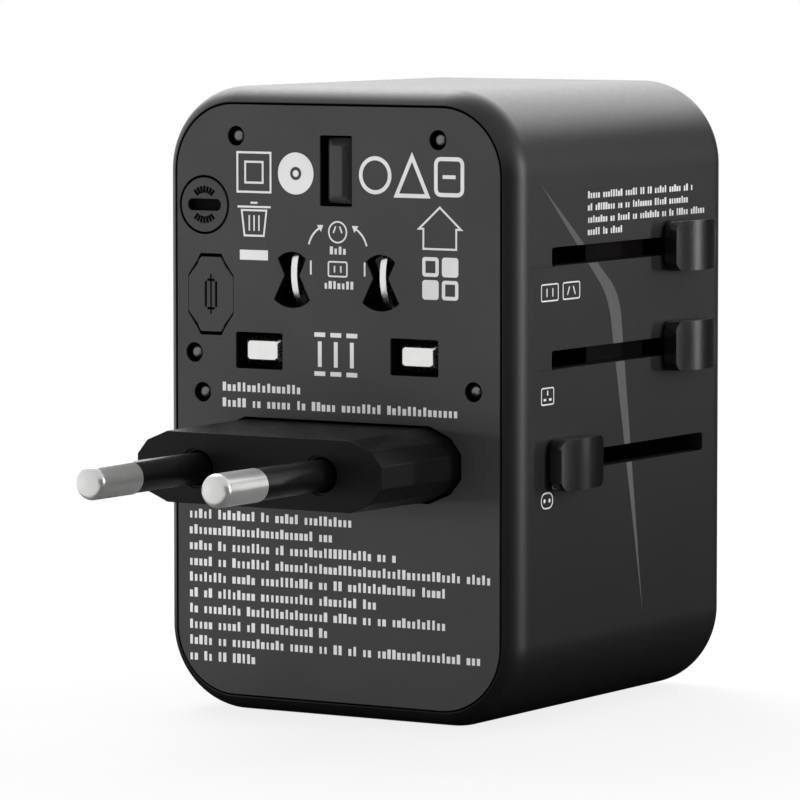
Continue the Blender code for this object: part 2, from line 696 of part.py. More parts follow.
def make_us_set(plastic, knob_finish, metal, slide, twist_left, twist_right):
    lane = LANES["us"]
    low_z = PIVOT_Z + US_CARRIAGE_RISE[0]
    high_z = PIVOT_Z + US_CARRIAGE_RISE[1]
    left = -US_BLADE_X - US_BLADE_DOWN
    low = (left, at(US_CARRIAGE_IN), low_z)
    plate = box(low, (ARM_X + OVERLAP, at(US_CARRIAGE_IN + CARRIAGE), high_z))
    origin = (0, at(US_CARRIAGE_IN), PIVOT_Z)
    carriage = object_from("us_carriage", plate, plastic, origin, slide)
    weld(carriage, arm_mesh(lane, US_CARRIAGE_IN + STEP, KNOB_BACK + NECK[0] / 2 + ARM_TAIL))
    weld(carriage, neck_mesh(lane, KNOB_BACK))
    back = US_CARRIAGE_IN + CARRIAGE
    for side in (-1, 1):
        hole = circle(US_SHAFT_R + FIT, (side * US_BLADE_X, PIVOT_Z), 18)
        cut(carriage, prism(hole, "y", at(US_CARRIAGE_IN - PAST), at(back + PAST)))
    make_knob("us_knob", lane, KNOB_BACK, knob_finish, slide)
    for name, side, parent in (("us_blade_left", -1, twist_left), ("us_blade_right", 1, twist_right)):
        x = side * US_BLADE_X
        pivot = (x, PIVOT_Z)
        base = US_CARRIAGE_IN - FIT - US_FLANGE
        root = base + US_FLANGE / 2
        tip = US_TIP_DEPTH
        half = US_BLADE_THICK / 2
        top, bottom = PIVOT_Z + US_BLADE_UP, PIVOT_Z - US_BLADE_DOWN
        bevel = US_TIP_BEVEL
        outline = [(at(root), bottom), (at(root), top), (at(tip + bevel), top)]
        outline += [(at(tip), top - bevel), (at(tip), bottom + bevel), (at(tip + bevel), bottom)]
        blade_mesh = prism(outline, "x", x - half, x + half)
        origin = (x, at(US_CARRIAGE_IN), PIVOT_Z)
        blade = object_from(name, blade_mesh, metal, origin, parent, smooth=True)
        flange = back + FIT
        disc = circle(US_FLANGE_R, pivot, 18)
        weld(blade, prism(disc, "y", at(base), at(base + US_FLANGE)))
        shaft = circle(US_SHAFT_R, pivot, 18)
        weld(blade, prism(shaft, "y", at(root + OVERLAP), at(flange + US_FLANGE / 2)))
        weld(blade, prism(disc, "y", at(flange), at(flange + US_FLANGE)))


def tapered_pin(size, middle, tip, base, chamfer):
    half = (size[0] / 2, size[1] / 2)
    rings = []
    for shrink, depth in ((chamfer, tip), (0, tip + chamfer * 1.4), (0, base)):
        outline = rounded((half[0] - shrink, half[1] - shrink), UK_PIN_CORNER, middle, 2)
        rings.append([(u, at(depth), v) for u, v in outline])
    return loft(rings)


def make_uk_set(plastic, knob_finish, metal, slide):
    lane = LANES["uk"]
    start, end = UK_CARRIAGE_IN, UK_CARRIAGE_IN + CARRIAGE
    low_z, high_z = LINE_Z + UK_BAR_RISE[0], LINE_Z + UK_BAR_RISE[1]
    left = -US_BLADE_X - US_BLADE_DOWN - 2 * US_SLOT_GAP - UK_BAR
    low_bar = box((left - 3 * STEP, at(start), low_z), (ARM_X + OVERLAP, at(end), high_z))
    origin = (0, at(start), LINE_Z)
    carriage = object_from("uk_carriage", low_bar, plastic, origin, slide)
    top_low, top_high = EARTH_Z + UK_TOP_RISE[0], EARTH_Z + UK_TOP_RISE[1]
    weld(carriage, box((left, at(start), low_z + OVERLAP), (left + UK_BAR, at(end), top_high)))
    weld(carriage, box((left + OVERLAP, at(start), top_low), (UK_TOP_END, at(end), top_high)))
    weld(carriage, arm_mesh(lane, start + STEP, KNOB_BACK + NECK[0] / 2 + ARM_TAIL))
    weld(carriage, neck_mesh(lane, KNOB_BACK))
    make_knob("uk_knob", lane, KNOB_BACK, knob_finish, slide)
    base = start - FIT
    for name, side in (("uk_pin_live", 1), ("uk_pin_neutral", -1)):
        middle = (side * UK_PIN_X, LINE_Z)
        pin = tapered_pin(UK_PIN, middle, UK_TIP_DEPTH, base, UK_TIP_BEVEL)
        object_from(name, pin, metal, (middle[0], at(start), LINE_Z), slide, smooth=True)
    spot = (0, EARTH_Z)
    earth = tapered_pin(UK_EARTH, spot, UK_EARTH_TIP_DEPTH, base, UK_EARTH_TIP_BEVEL)
    object_from("uk_earth_pin", earth, plastic, (0, at(start), EARTH_Z), slide, smooth=True)


def make_eu_set(plastic, knob_finish, metal, sleeve_finish, slide, inner_slide):
    lane = LANES["eu"]
    rings = []
    for grow, depth in ((0.0, -EU_BLOCK_OUT), (EU_BLOCK_DRAFT, 0.0), (EU_BLOCK_DRAFT, EU_BLOCK_IN)):
        rings.append([(u, at(depth), v) for u, v in eu_outline(grow)])
    origin = (0, at(-EU_BLOCK_OUT), EU_Z)
    block = object_from("eu_plug_block", loft(rings), plastic, origin, slide, smooth=True)
    tab_start = PLUG_PLATE + 2 * FIT
    tab_low = (EU_BLOCK_TIP_WIDTH, at(tab_start), EU_Z - EU_TAB_HALF)
    tab_high = (ARM_X + OVERLAP, at(EU_BLOCK_IN - STEP), EU_Z + EU_TAB_HALF)
    weld(block, box(tab_low, tab_high))
    weld(block, arm_mesh(lane, tab_start + STEP, KNOB_FRONT + NECK[0] / 2 + ARM_TAIL))
    weld(block, neck_mesh(lane, KNOB_FRONT))
    bore = EU_SLEEVE_R + EU_BORE_GAP
    for side in (-1, 1):
        hole = circle(bore, (side * EU_PIN_X, EU_Z), 24)
        cut(block, prism(hole, "y", at(-EU_BLOCK_OUT - PAST), at(EU_BLOCK_IN + PAST)))
    make_knob("eu_knob", lane, KNOB_FRONT, knob_finish, slide)
    back = EU_BLOCK_IN + FIT
    half_h = EU_BLOCK_HALF[1] - 2 * FIT
    low = (-EU_BLOCK_TIP_WIDTH, at(back), EU_Z - half_h)
    high = (EU_BLOCK_TIP_WIDTH, at(back + EU_CARRIAGE), EU_Z + half_h)
    carriage_origin = (0, at(back), EU_Z)
    object_from("eu_pin_carriage", box(low, high), plastic, carriage_origin, inner_slide)
    sleeve_front = -EU_BLOCK_OUT - EU_SLEEVE
    tip = sleeve_front - EU_METAL
    for name, side in (("left", -1), ("right", 1)):
        spot = (side * EU_PIN_X, EU_Z)
        profile = []
        for step in range(7):
            angle = math.radians(12 + 78 * step / 6)
            profile.append((EU_PIN_R * math.sin(angle), tip + EU_PIN_R * (1 - math.cos(angle))))
        profile += [(EU_PIN_R, sleeve_front - EU_SEAM), (EU_CORE_R, sleeve_front - EU_SEAM)]
        profile += [(EU_CORE_R, EU_BLOCK_IN - EU_SEAM)]
        pin_rings = [[(u, at(d), v) for u, v in circle(r, spot, 20)] for r, d in profile]
        origin = (spot[0], at(back), EU_Z)
        object_from(f"eu_pin_{name}", loft(pin_rings), metal, origin, inner_slide, smooth=True)
        tube = []
        inner = EU_CORE_R + 2 * EU_SEAM
        ends = (sleeve_front + EU_SEAM, EU_BLOCK_IN)
        for radius, depth in ((EU_SLEEVE_R, ends[0]), (EU_SLEEVE_R, ends[1]),
                              (inner, ends[1]), (inner, ends[0])):
            tube.append([(u, at(depth), v) for u, v in circle(radius, spot, 20)])
        sleeve = loft(tube, closed=True)
        object_from(f"eu_sleeve_{name}", sleeve, sleeve_finish, origin, inner_slide, smooth=True)


# ---------------------------------------------------------------- charger

def make_ports(steel, insulator):
    for name, size, x, inward in port_places():
        middle = (x, at(inward))
        flat = size is USB_A
        tongue_half = USB_A_TONGUE if flat else USB_C_TONGUE
        shift = USB_A_TONGUE_SHIFT if flat else 0.0
        floor = PORT_TOP - (USB_A_BASE if flat else USB_C_BASE)
        outer = port_outline(size, middle, 0)
        inner = port_outline(size, middle, -PORT_WALL)
        shell = object_from(f"{name}_shell", prism(outer, "z", PORT_RECESS, PORT_TOP), steel)
        cut(shell, prism(inner, "z", -PAST, PORT_TOP - PORT_WALL))
        base = port_outline(size, middle, -PORT_WALL - INSERT_GAP)
        base_top = PORT_TOP - PORT_WALL - INSERT_GAP
        insert = object_from(f"{name}_insert", prism(base, "z", floor, base_top), insulator)
        low = (x + shift - tongue_half[0], middle[1] - tongue_half[1], PORT_RECESS + PAST)
        high = (x + shift + tongue_half[0], middle[1] + tongue_half[1], floor + OVERLAP)
        weld(insert, box(low, high))


def make_boards(board_finish, core_finish, can_finish):
    bottom = PORT_TOP + FIT
    first = USB_C_IN - USB_C[1] / 2 - BOARD_EDGE
    last = USB_A_IN + USB_A[1] / 2 + BOARD_EDGE
    low = (-USB_BOARD_HALF, at(first), bottom)
    object_from("usb_board", box(low, (USB_BOARD_HALF, at(last), bottom + BOARD)), board_finish)
    low = (-POWER_BOARD_HALF, at(POWER_BOARD_IN), WALL + FIT)
    high = (POWER_BOARD_HALF, at(POWER_BOARD_IN + BOARD), SHELF_B - FIT)
    object_from("power_board", box(low, high), board_finish)
    front = PLUG_PLATE + 2 * FIT
    back = POWER_BOARD_IN - FIT
    foot = WALL + PART_LIFT
    core_box = box((CORE_X[0], at(front), foot), (CORE_X[1], at(back), foot + CORE_LENGTH))
    core = object_from("transformer", core_box, core_finish)
    width, height, depth = CORE_WINDOW
    for rise in CORE_WINDOW_RISES:
        window_low = (CORE_X[0] - PAST, at(front - PAST), foot + rise)
        window_high = (CORE_X[0] + width, at(front + depth), foot + rise + height)
        cut(core, box(window_low, window_high))
    can_r = (back - front) / 2
    top = foot + CAN_LENGTH
    for number, x in enumerate(CAN_X):
        profile = [(can_r - CAN_BEVEL, foot), (can_r, foot + CAN_BEVEL)]
        profile += [(can_r, top - CAN_BEVEL), (can_r - CAN_BEVEL, top)]
        rings = []
        for radius, z in profile:
            rings.append([(u, v, z) for u, v in circle(radius, (x, at(front + can_r)), 18)])
        object_from(f"capacitor_{number + 1}", loft(rings), can_finish, smooth=True)
    low = (-INDUCTOR_HALF, at(USB_C_IN - INDUCTOR_BACK), bottom + BOARD + FIT)
    high = (INDUCTOR_HALF, at(USB_A_IN - INDUCTOR_BACK), SHELF_B - 2 * FIT)
    object_from("output_inductor", box(low, high), core_finish)


def build():
    clear_scene()
    black = material("satin_black_shell", (0.027, 0.027, 0.028), 0.38)
    grey = material("matte_dark_plate", (0.058, 0.058, 0.06), 0.55)
    dark = material("black_plastic", (0.02, 0.02, 0.021), 0.45)
    knob_finish = material("knob_plastic", (0.03, 0.03, 0.031), 0.35)
    nickel = material("nickel_plate", (0.72, 0.71, 0.69), 0.22, 1.0)
    brass = material("brass", (0.78, 0.6, 0.3), 0.3, 1.0)
    steel = material("steel", (0.6, 0.6, 0.61), 0.3, 1.0)
    screw_black = material("blackened_steel", (0.05, 0.05, 0.05), 0.4, 1.0)
    white = material("white_plastic", (0.75, 0.75, 0.73), 0.45)
    ceramic = material("ceramic", (0.8, 0.78, 0.72), 0.4)
    green = material("circuit_board", (0.02, 0.15, 0.06), 0.5)
    core = material("ferrite", (0.08, 0.08, 0.085), 0.6)
    can = material("capacitor_sleeve", (0.03, 0.05, 0.12), 0.35)

    us_slide = empty("us_slide_axis", (0, at(US_CARRIAGE_IN), PIVOT_Z))
    twist_left = empty("us_twist_left_axis", (-US_BLADE_X, at(US_CARRIAGE_IN), PIVOT_Z), us_slide)
    twist_right = empty("us_twist_right_axis", (US_BLADE_X, at(US_CARRIAGE_IN), PIVOT_Z), us_slide)
    uk_slide = empty("uk_slide_axis", (0, at(UK_CARRIAGE_IN), LINE_Z))
    eu_slide = empty("eu_slide_axis", (0, at(-EU_BLOCK_OUT), EU_Z))
    eu_inner = empty("eu_pin_slide_axis", (0, at(EU_BLOCK_IN + FIT), EU_Z), eu_slide)
    shutter_lift = empty("shutter_axis", (0, at(SHUTTER_IN), LINE_Z))
    cover_pull = empty("fuse_cover_axis", (FUSE_X, at(0), FUSE_Z))
    cap_turn = empty("spare_cap_axis", (SPARE_X, at(0), SPARE_Z))

    make_shell(black)
    make_plug_plate(grey)
    make_screws(screw_black)
    make_socket_plate(grey)
    make_chassis(dark)
    make_contact_carrier(dark)
    make_contacts(brass)
    make_shutter(dark, steel, shutter_lift)
    make_fuses(grey, ceramic, brass, cover_pull, cap_turn)
    make_us_set(dark, knob_finish, nickel, us_slide, twist_left, twist_right)
    make_uk_set(grey, knob_finish, nickel, uk_slide)
    make_eu_set(dark, knob_finish, nickel, dark, eu_slide, eu_inner)
    make_ports(steel, white)
    make_boards(green, core, can)


build()
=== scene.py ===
"""Finished look of a universal travel adapter, laid out as an add-on and run as a script.

Lengths in the mesh code are millimetres in the part's own frame: -Y is the plug face, +Y the socket face,
+X the side with the slider knobs, and Z = 0 the narrow end that it stands on. Places come from the frame.
"""

import json
import math

import bmesh
import bpy
from bpy.props import FloatProperty, FloatVectorProperty, IntProperty, PointerProperty
from mathutils import Matrix, Vector


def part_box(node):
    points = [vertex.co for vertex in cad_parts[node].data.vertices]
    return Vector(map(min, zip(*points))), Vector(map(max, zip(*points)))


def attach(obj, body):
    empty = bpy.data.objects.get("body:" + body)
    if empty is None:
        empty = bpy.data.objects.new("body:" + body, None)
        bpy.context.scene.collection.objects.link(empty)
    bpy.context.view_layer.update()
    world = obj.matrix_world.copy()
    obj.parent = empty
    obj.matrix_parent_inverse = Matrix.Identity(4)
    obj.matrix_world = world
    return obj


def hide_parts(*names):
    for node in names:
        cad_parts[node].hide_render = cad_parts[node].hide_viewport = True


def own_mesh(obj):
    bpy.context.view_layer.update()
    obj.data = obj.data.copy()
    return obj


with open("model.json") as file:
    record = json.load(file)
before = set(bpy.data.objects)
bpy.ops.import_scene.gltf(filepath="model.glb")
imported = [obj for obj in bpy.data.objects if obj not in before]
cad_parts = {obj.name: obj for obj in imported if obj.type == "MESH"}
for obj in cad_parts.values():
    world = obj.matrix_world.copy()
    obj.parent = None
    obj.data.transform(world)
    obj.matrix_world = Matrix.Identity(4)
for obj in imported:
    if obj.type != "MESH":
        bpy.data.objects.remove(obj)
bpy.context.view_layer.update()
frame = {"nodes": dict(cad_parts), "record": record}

bl_info = {
    "name": "Travel Adapter",
    "version": (1, 0, 0),
    "blender": (4, 5, 0),
    "location": "View3D > Sidebar > Adapter",
    "description": "Builds the finished pieces of a universal travel adapter around its frame",
    "category": "Object",
}

MM = 0.001
HOUSING = "housing"
FRONT, RIGHT = "front", "right"


# ---------------------------------------------------------------- settings

class AdapterSizes(bpy.types.PropertyGroup):
    """Sizes that a user would change. Every length is in metres."""

    housing_corner: FloatProperty(
        name="Housing corner", description="Corner radius of the housing seen from the plug face",
        default=0.0104, min=0.004, max=0.02, subtype="DISTANCE", unit="LENGTH")
    rim_inset: FloatProperty(
        name="Rim inset", description="How far the rounded rim draws in towards each plate",
        default=0.0019, min=0.0005, max=0.004, subtype="DISTANCE", unit="LENGTH")
    rim_depth: FloatProperty(
        name="Rim depth", description="Length of the rounded rim along the housing's side",
        default=0.0036, min=0.001, max=0.008, subtype="DISTANCE", unit="LENGTH")
    lip_round: FloatProperty(
        name="Lip rounding", description="Radius of the housing's mouth edge",
        default=0.0002, min=0.00005, max=0.0004, subtype="DISTANCE", unit="LENGTH")
    plate_corner: FloatProperty(
        name="Plate corner", description="Corner radius of the two end plates",
        default=0.0082, min=0.002, max=0.015, subtype="DISTANCE", unit="LENGTH")
    edge_round: FloatProperty(
        name="Edge rounding", description="Radius of a moulded edge",
        default=0.00014, min=0.00002, max=0.0004, subtype="DISTANCE", unit="LENGTH")
    knob_corner: FloatProperty(
        name="Knob corner", description="Corner radius of a slider knob seen from its side",
        default=0.0013, min=0.0005, max=0.003, subtype="DISTANCE", unit="LENGTH")
    knob_edge: FloatProperty(
        name="Knob edge", description="Radius along the top edge of a slider knob",
        default=0.0003, min=0.0001, max=0.001, subtype="DISTANCE", unit="LENGTH")
    ink_height: FloatProperty(
        name="Ink height", description="How far printed marks stand above the plastic",
        default=0.00002, min=0.000005, max=0.0001, subtype="DISTANCE", unit="LENGTH")
    print_seed: IntProperty(
        name="Print seed", description="Seed of the printed rows' block pattern", default=7, min=0)


class AdapterFinishes(bpy.types.PropertyGroup):
    """Colours and roughness of the main finishes."""

    shell_color: FloatVectorProperty(
        name="Shell", description="Satin black of the housing", default=(0.0075, 0.0075, 0.0078),
        min=0, max=1, size=3, subtype="COLOR")
    knob_color: FloatVectorProperty(
        name="Knobs", description="Black of the slider knobs", default=(0.004, 0.004, 0.0042),
        min=0, max=1, size=3, subtype="COLOR")
    block_color: FloatVectorProperty(
        name="Plug block", description="Black of the European plug's block",
        default=(0.0052, 0.0052, 0.0054), min=0, max=1, size=3, subtype="COLOR")
    plate_color: FloatVectorProperty(
        name="Plates", description="Dark grey of the two end plates", default=(0.05, 0.05, 0.051),
        min=0, max=1, size=3, subtype="COLOR")
    # Partly painted shade: the inner plastic's black is set almost to nothing so that carriages seen
    # through the slots and holes read as deep shade.
    inner_plastic_and_shade: FloatVectorProperty(
        name="Inner plastic", description="Black of carriages and inner mouldings",
        default=(0.004, 0.0028, 0.0028), min=0, max=1, size=3, subtype="COLOR")
    ink_color: FloatVectorProperty(
        name="Ink", description="Off-white of the printed marks", default=(0.7, 0.7, 0.7),
        min=0, max=1, size=3, subtype="COLOR")
    stripe_color: FloatVectorProperty(
        name="Stripe", description="Grey of the printed side stripe", default=(0.085, 0.085, 0.087),
        min=0, max=1, size=3, subtype="COLOR")
    nickel_color: FloatVectorProperty(
        name="Nickel", description="Plating of pins and blades", default=(0.8, 0.795, 0.785),
        min=0, max=1, size=3, subtype="COLOR")
    shell_roughness: FloatProperty(
        name="Shell roughness", description="Roughness of the satin housing", default=0.42,
        min=0, max=1, subtype="FACTOR")
    knob_roughness: FloatProperty(
        name="Knob roughness", description="Roughness of the slider knobs", default=0.24,
        min=0, max=1, subtype="FACTOR")
    plate_roughness: FloatProperty(
        name="Plate roughness", description="Roughness of the matte plates", default=0.55,
        min=0, max=1, subtype="FACTOR")


def sizes():
    return bpy.context.scene.adapter_sizes


def finishes():
    return bpy.context.scene.adapter_finishes


def mm(length):
    """A length in metres as millimetres."""
    return length / MM


# ---------------------------------------------------------------- places from the frame

def box_mm(node):
    """The low and high corners of a node's box, in millimetres."""
    low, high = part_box(node)
    return Vector(low) / MM, Vector(high) / MM


def middle_of(node):
    low, high = box_mm(node)
    return (low + high) / 2


def half_of(node):
    low, high = box_mm(node)
    return (high - low) / 2


SHELL_LOW, SHELL_HIGH = box_mm("housing_shell")
PLATE_LOW, PLATE_HIGH = box_mm("plug_face_plate")
SOCKET_LOW, SOCKET_HIGH = box_mm("socket_face_plate")
FACE_Y = PLATE_LOW.y
SIDE_X = SHELL_HIGH.x

# The clearance round what passes through a plate or the shell.
FIT = 0.3


# ---------------------------------------------------------------- outlines and forms

def rounded(half, corner, center=(0, 0), steps=10):
    """A rectangle's outline with round corners, anticlockwise."""
    outline = []
    for sign_u, sign_v, turn in ((1, 1, 0), (-1, 1, 90), (-1, -1, 180), (1, -1, 270)):
        for step in range(steps + 1):
            angle = math.radians(turn + 90 * step / steps)
            u = center[0] + sign_u * (half[0] - corner) + corner * math.cos(angle)
            v = center[1] + sign_v * (half[1] - corner) + corner * math.sin(angle)
            outline.append((u, v))
    return outline


def circle(radius, center=(0, 0), count=48):
    turns = [2 * math.pi * step / count for step in range(count)]
    return [(center[0] + radius * math.cos(a), center[1] + radius * math.sin(a)) for a in turns]


def arc(center, radius, start, end, steps=10):
    """Points along an arc, with its angles in degrees."""
    turns = [math.radians(start + (end - start) * step / steps) for step in range(steps + 1)]
    return [(center[0] + radius * math.cos(a), center[1] + radius * math.sin(a)) for a in turns]


def loft(rings, closed=False):
    """A skin over rings of equal length, capped at both ends or joined round to the first."""
    form = bmesh.new()
    rows = [[form.verts.new(point) for point in ring] for ring in rings]
    pairs = list(zip(rows, rows[1:]))
    if closed:
        pairs.append((rows[-1], rows[0]))
    for near, far in pairs:
        for i in range(len(near)):
            j = (i + 1) % len(near)
            form.faces.new((near[i], near[j], far[j], far[i]))
    if not closed:
        form.faces.new(list(reversed(rows[0])))
        form.faces.new(rows[-1])
    bmesh.ops.recalc_face_normals(form, faces=form.faces)
    return form


def spread(point, along, value):
    """A point of an outline, placed at this value along the axis that the outline faces."""
    if along == "x":
        return (value, point[0], point[1])
    if along == "y":
        return (point[0], value, point[1])
    return (point[0], point[1], value)


def prism(outline, along, start, end):
    return loft([[spread(point, along, value) for point in outline] for value in (start, end)])


def square(low, high):
    """A rectangle's outline between two corners, anticlockwise."""
    return [(low[0], low[1]), (high[0], low[1]), (high[0], high[1]), (low[0], high[1])]


def box(low, high):
    return prism(square(low, high), "z", low[2], high[2])


def turned(profile, center, count=48):
    """A body of revolution about a line along Y through center (x, z); profile holds (radius, y)."""
    return loft([[(u, y, v) for u, v in circle(radius, center, count)] for radius, y in profile])


def as_form(mesh):
    """A bmesh from a mesh, which is used up."""
    form = bmesh.new()
    form.from_mesh(mesh)
    bpy.data.meshes.remove(mesh)
    return form


def as_mesh(form, name):
    """A mesh from a bmesh, which is used up."""
    mesh = bpy.data.meshes.new(name)
    form.to_mesh(mesh)
    form.free()
    return mesh


def linked(name, data):
    """A new object in the scene's collection."""
    made = bpy.data.objects.new(name, data)
    bpy.context.collection.objects.link(made)
    return made


def joined(forms):
    """One bmesh from several, which are used up."""
    whole = bmesh.new()
    for form in forms:
        part = as_mesh(form, "part")
        whole.from_mesh(part)
        bpy.data.meshes.remove(part)
    return whole


def scratch(form):
    """A temporary object from a bmesh, which is used up."""
    return linked("scratch", as_mesh(form, "scratch"))


def discard(made):
    mesh = made.data
    bpy.data.objects.remove(made, do_unlink=True)
    bpy.data.meshes.remove(mesh)


def combine(body, form, operation):
    """Adds an exact boolean step to a body and returns the step's tool, a temporary object."""
    tool = scratch(form)
    step = body.modifiers.new(operation, "BOOLEAN")
    step.operation = operation
    step.solver = "EXACT"
    step.object = tool
    return tool


def shaped(form, cuts=(), welds=(), bevel=0.0, late_cuts=(), angle=32):
    """A finished mesh in metres: unions, cuts, a rounded edge, later cuts and weighted normals."""
    body = scratch(form)
    tools = [combine(body, weld, "UNION") for weld in welds]
    tools += [combine(body, cut, "DIFFERENCE") for cut in cuts]
    if bevel:
        edge = body.modifiers.new("edge", "BEVEL")
        edge.width = bevel
        edge.segments = 3
        edge.limit_method = "ANGLE"
        edge.angle_limit = math.radians(angle)
        edge.use_clamp_overlap = True
    tools += [combine(body, cut, "DIFFERENCE") for cut in late_cuts]
    mesh = baked(body)
    for made in (*tools, body):
        discard(made)
    return settled(mesh, angle)


def baked(body):
    """The evaluated mesh of an object as plain data."""
    graph = bpy.context.evaluated_depsgraph_get()
    return bpy.data.meshes.new_from_object(body.evaluated_get(graph), depsgraph=graph)


def settled(mesh, angle=32):
    """Smooth shading with weighted normals, and millimetres turned into metres."""
    mesh.transform(Matrix.Scale(MM, 4))
    mesh.shade_smooth()
    mesh.set_sharp_from_angle(angle=math.radians(angle))
    holder = linked("holder", mesh)
    weigh = holder.modifiers.new("weigh", "WEIGHTED_NORMAL")
    weigh.keep_sharp = True
    weigh.weight = 80
    done = baked(holder)
    discard(holder)
    return done


def piece(name, mesh, finish, body, replaces=()):
    """A finished piece that rides on a body and may stand for CAD nodes."""
    mesh.name = name
    mesh.materials.clear()
    mesh.materials.append(finish)
    made = linked(name, mesh)
    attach(made, body)
    if replaces:
        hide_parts(*replaces)
    return made


def dress(node, finish):
    """A CAD node keeps its shape and takes a finish in each of its material slots."""
    cad = frame["nodes"][node]
    if not cad.material_slots:
        cad.data.materials.append(finish)
    for place in cad.material_slots:
        place.material = finish


# ---------------------------------------------------------------- finishes

class Finish:
    """A Principled material, with short names for the nodes that feed it."""

    made = {}

    def __init__(self, name, color, roughness, metallic=0.0, specular=0.5):
        self.material = bpy.data.materials.new(name)
        self.material.use_nodes = True
        self.tree = self.material.node_tree
        self.shader = self.tree.nodes["Principled BSDF"]
        self.set("Base Color", (*color, 1.0))
        self.set("Roughness", roughness)
        self.set("Metallic", metallic)
        self.set("Specular IOR Level", specular)
        self.color = color
        self.place = self.tree.nodes.new("ShaderNodeTexCoord").outputs["Object"]
        Finish.made[name] = self.material

    def set(self, socket, value):
        """Gives one of the shader's inputs a plain value."""
        self.shader.inputs[socket].default_value = value

    def link(self, source, target):
        self.tree.links.new(source, target)

    def noise(self, scale, detail=3.0, stretch=None, rough=0.55):
        """Noise with this many features in a metre, drawn out along an axis if stretch is given."""
        node = self.tree.nodes.new("ShaderNodeTexNoise")
        node.inputs["Scale"].default_value = scale
        node.inputs["Detail"].default_value = detail
        node.inputs["Roughness"].default_value = rough
        source = self.place
        if stretch:
            mapping = self.tree.nodes.new("ShaderNodeMapping")
            mapping.inputs["Scale"].default_value = stretch
            self.link(source, mapping.inputs["Vector"])
            source = mapping.outputs["Vector"]
        self.link(source, node.inputs["Vector"])
        return node.outputs["Fac"]

    def remap(self, source, low, high, start=0.3, end=0.7):
        node = self.tree.nodes.new("ShaderNodeMapRange")
        node.inputs["From Min"].default_value = start
        node.inputs["From Max"].default_value = end
        node.inputs["To Min"].default_value = low
        node.inputs["To Max"].default_value = high
        self.link(source, node.inputs["Value"])
        return node.outputs["Result"]

    def vary_roughness(self, source, low, high):
        self.link(self.remap(source, low, high), self.shader.inputs["Roughness"])

    def vary_color(self, source, dark, light):
        """The colour runs between dark and light, given as shares of the base colour."""
        ramp = self.tree.nodes.new("ShaderNodeValToRGB")
        ramp.color_ramp.elements[0].position = 0.3
        ramp.color_ramp.elements[1].position = 0.7
        ramp.color_ramp.elements[0].color = (*[c * dark for c in self.color], 1.0)
        ramp.color_ramp.elements[1].color = (*[min(1.0, c * light) for c in self.color], 1.0)
        self.link(source, ramp.inputs["Fac"])
        self.link(ramp.outputs["Color"], self.shader.inputs["Base Color"])
        return ramp

    def bump(self, source, strength, depth, under=None):
        """Bump of this depth in metres, laid over an earlier bump if one is given."""
        node = self.tree.nodes.new("ShaderNodeBump")
        node.inputs["Strength"].default_value = strength
        node.inputs["Distance"].default_value = depth
        self.link(source, node.inputs["Height"])
        if under:
            self.link(under, node.inputs["Normal"])
        self.link(node.outputs["Normal"], self.shader.inputs["Normal"])
        return node.outputs["Normal"]


def paint_shade_inside(finish, ramp, start, depth, share):
    """Painted shade on the walls of holes: the colour falls to this share of itself, and the gloss to
    almost none, between start and start + depth along Y, in millimetres.
    """
    split = finish.tree.nodes.new("ShaderNodeSeparateXYZ")
    finish.link(finish.place, split.inputs["Vector"])
    fall = finish.remap(split.outputs["Y"], 0.0, 1.0, start * MM, (start + depth) * MM)
    mix = finish.tree.nodes.new("ShaderNodeMix")
    mix.data_type = "RGBA"
    colors = [socket for socket in mix.inputs if socket.type == "RGBA"]
    colors[1].default_value = (*[c * share for c in finish.color], 1.0)
    finish.link(fall, mix.inputs[0])
    finish.link(ramp.outputs["Color"], colors[0])
    mixed = next(socket for socket in mix.outputs if socket.type == "RGBA")
    finish.link(mixed, finish.shader.inputs["Base Color"])
    # Painted shade also takes the gloss off the walls of holes.
    shine = finish.remap(split.outputs["Y"], finish.shader.inputs["Specular IOR Level"].default_value, 0.02,
                         start * MM, (start + depth) * MM)
    finish.link(shine, finish.shader.inputs["Specular IOR Level"])


def moulded(name, color, roughness, grain, depth, specular=0.5, spread_by=0.05, inside=None):
    """Moulded plastic with a spark-eroded grain and a slow drift of tone and gloss.

    Where inside is given, it is the Y in millimetres past which the walls of holes take painted shade:
    their colour darkens and their gloss fades.
    """
    finish = Finish(name, color, roughness, specular=specular)
    drift = finish.noise(90, 2.0)
    ramp = finish.vary_color(drift, 0.93, 1.07)
    if inside is not None:
        paint_shade_inside(finish, ramp, inside, depth=0.2, share=0.06)
    finish.vary_roughness(finish.noise(grain * 0.2, 4.0), roughness - spread_by, roughness + spread_by)
    fine = finish.bump(finish.noise(grain, 2.0), 0.35, depth)
    finish.bump(finish.noise(60, 1.0), 0.15, depth * 3, fine)
    return finish.material


def plated(name, color, roughness, along, metallic=1.0):
    """Plated metal with faint draw lines along one axis and a soft mottle."""
    stretch = [1.0, 1.0, 1.0]
    stretch["xyz".index(along)] = 0.04
    finish = Finish(name, color, roughness, metallic=metallic)
    lines = finish.noise(5000, 2.0, stretch)
    finish.vary_roughness(lines, roughness - 0.02, roughness + 0.03)
    finish.vary_color(finish.noise(350, 3.0), 0.93, 1.0)
    finish.bump(lines, 0.02, 0.000002)
    return finish.material


def board_finish():
    """Solder mask over a faint net of tracks."""
    mask, light_mask, track = (0.012, 0.12, 0.05), (0.016, 0.15, 0.06), (0.05, 0.28, 0.12)
    finish = Finish("circuit_board", mask, 0.35)
    tracks = finish.tree.nodes.new("ShaderNodeTexBrick")
    tracks.inputs["Scale"].default_value = 260
    tracks.inputs["Mortar Size"].default_value = 0.05
    for socket, color in (("Color1", mask), ("Color2", light_mask), ("Mortar", track)):
        tracks.inputs[socket].default_value = (*color, 1.0)
    finish.link(finish.place, tracks.inputs["Vector"])
    finish.link(tracks.outputs["Color"], finish.shader.inputs["Base Color"])
    finish.bump(tracks.outputs["Fac"], 0.3, 0.00003)
    return finish.material


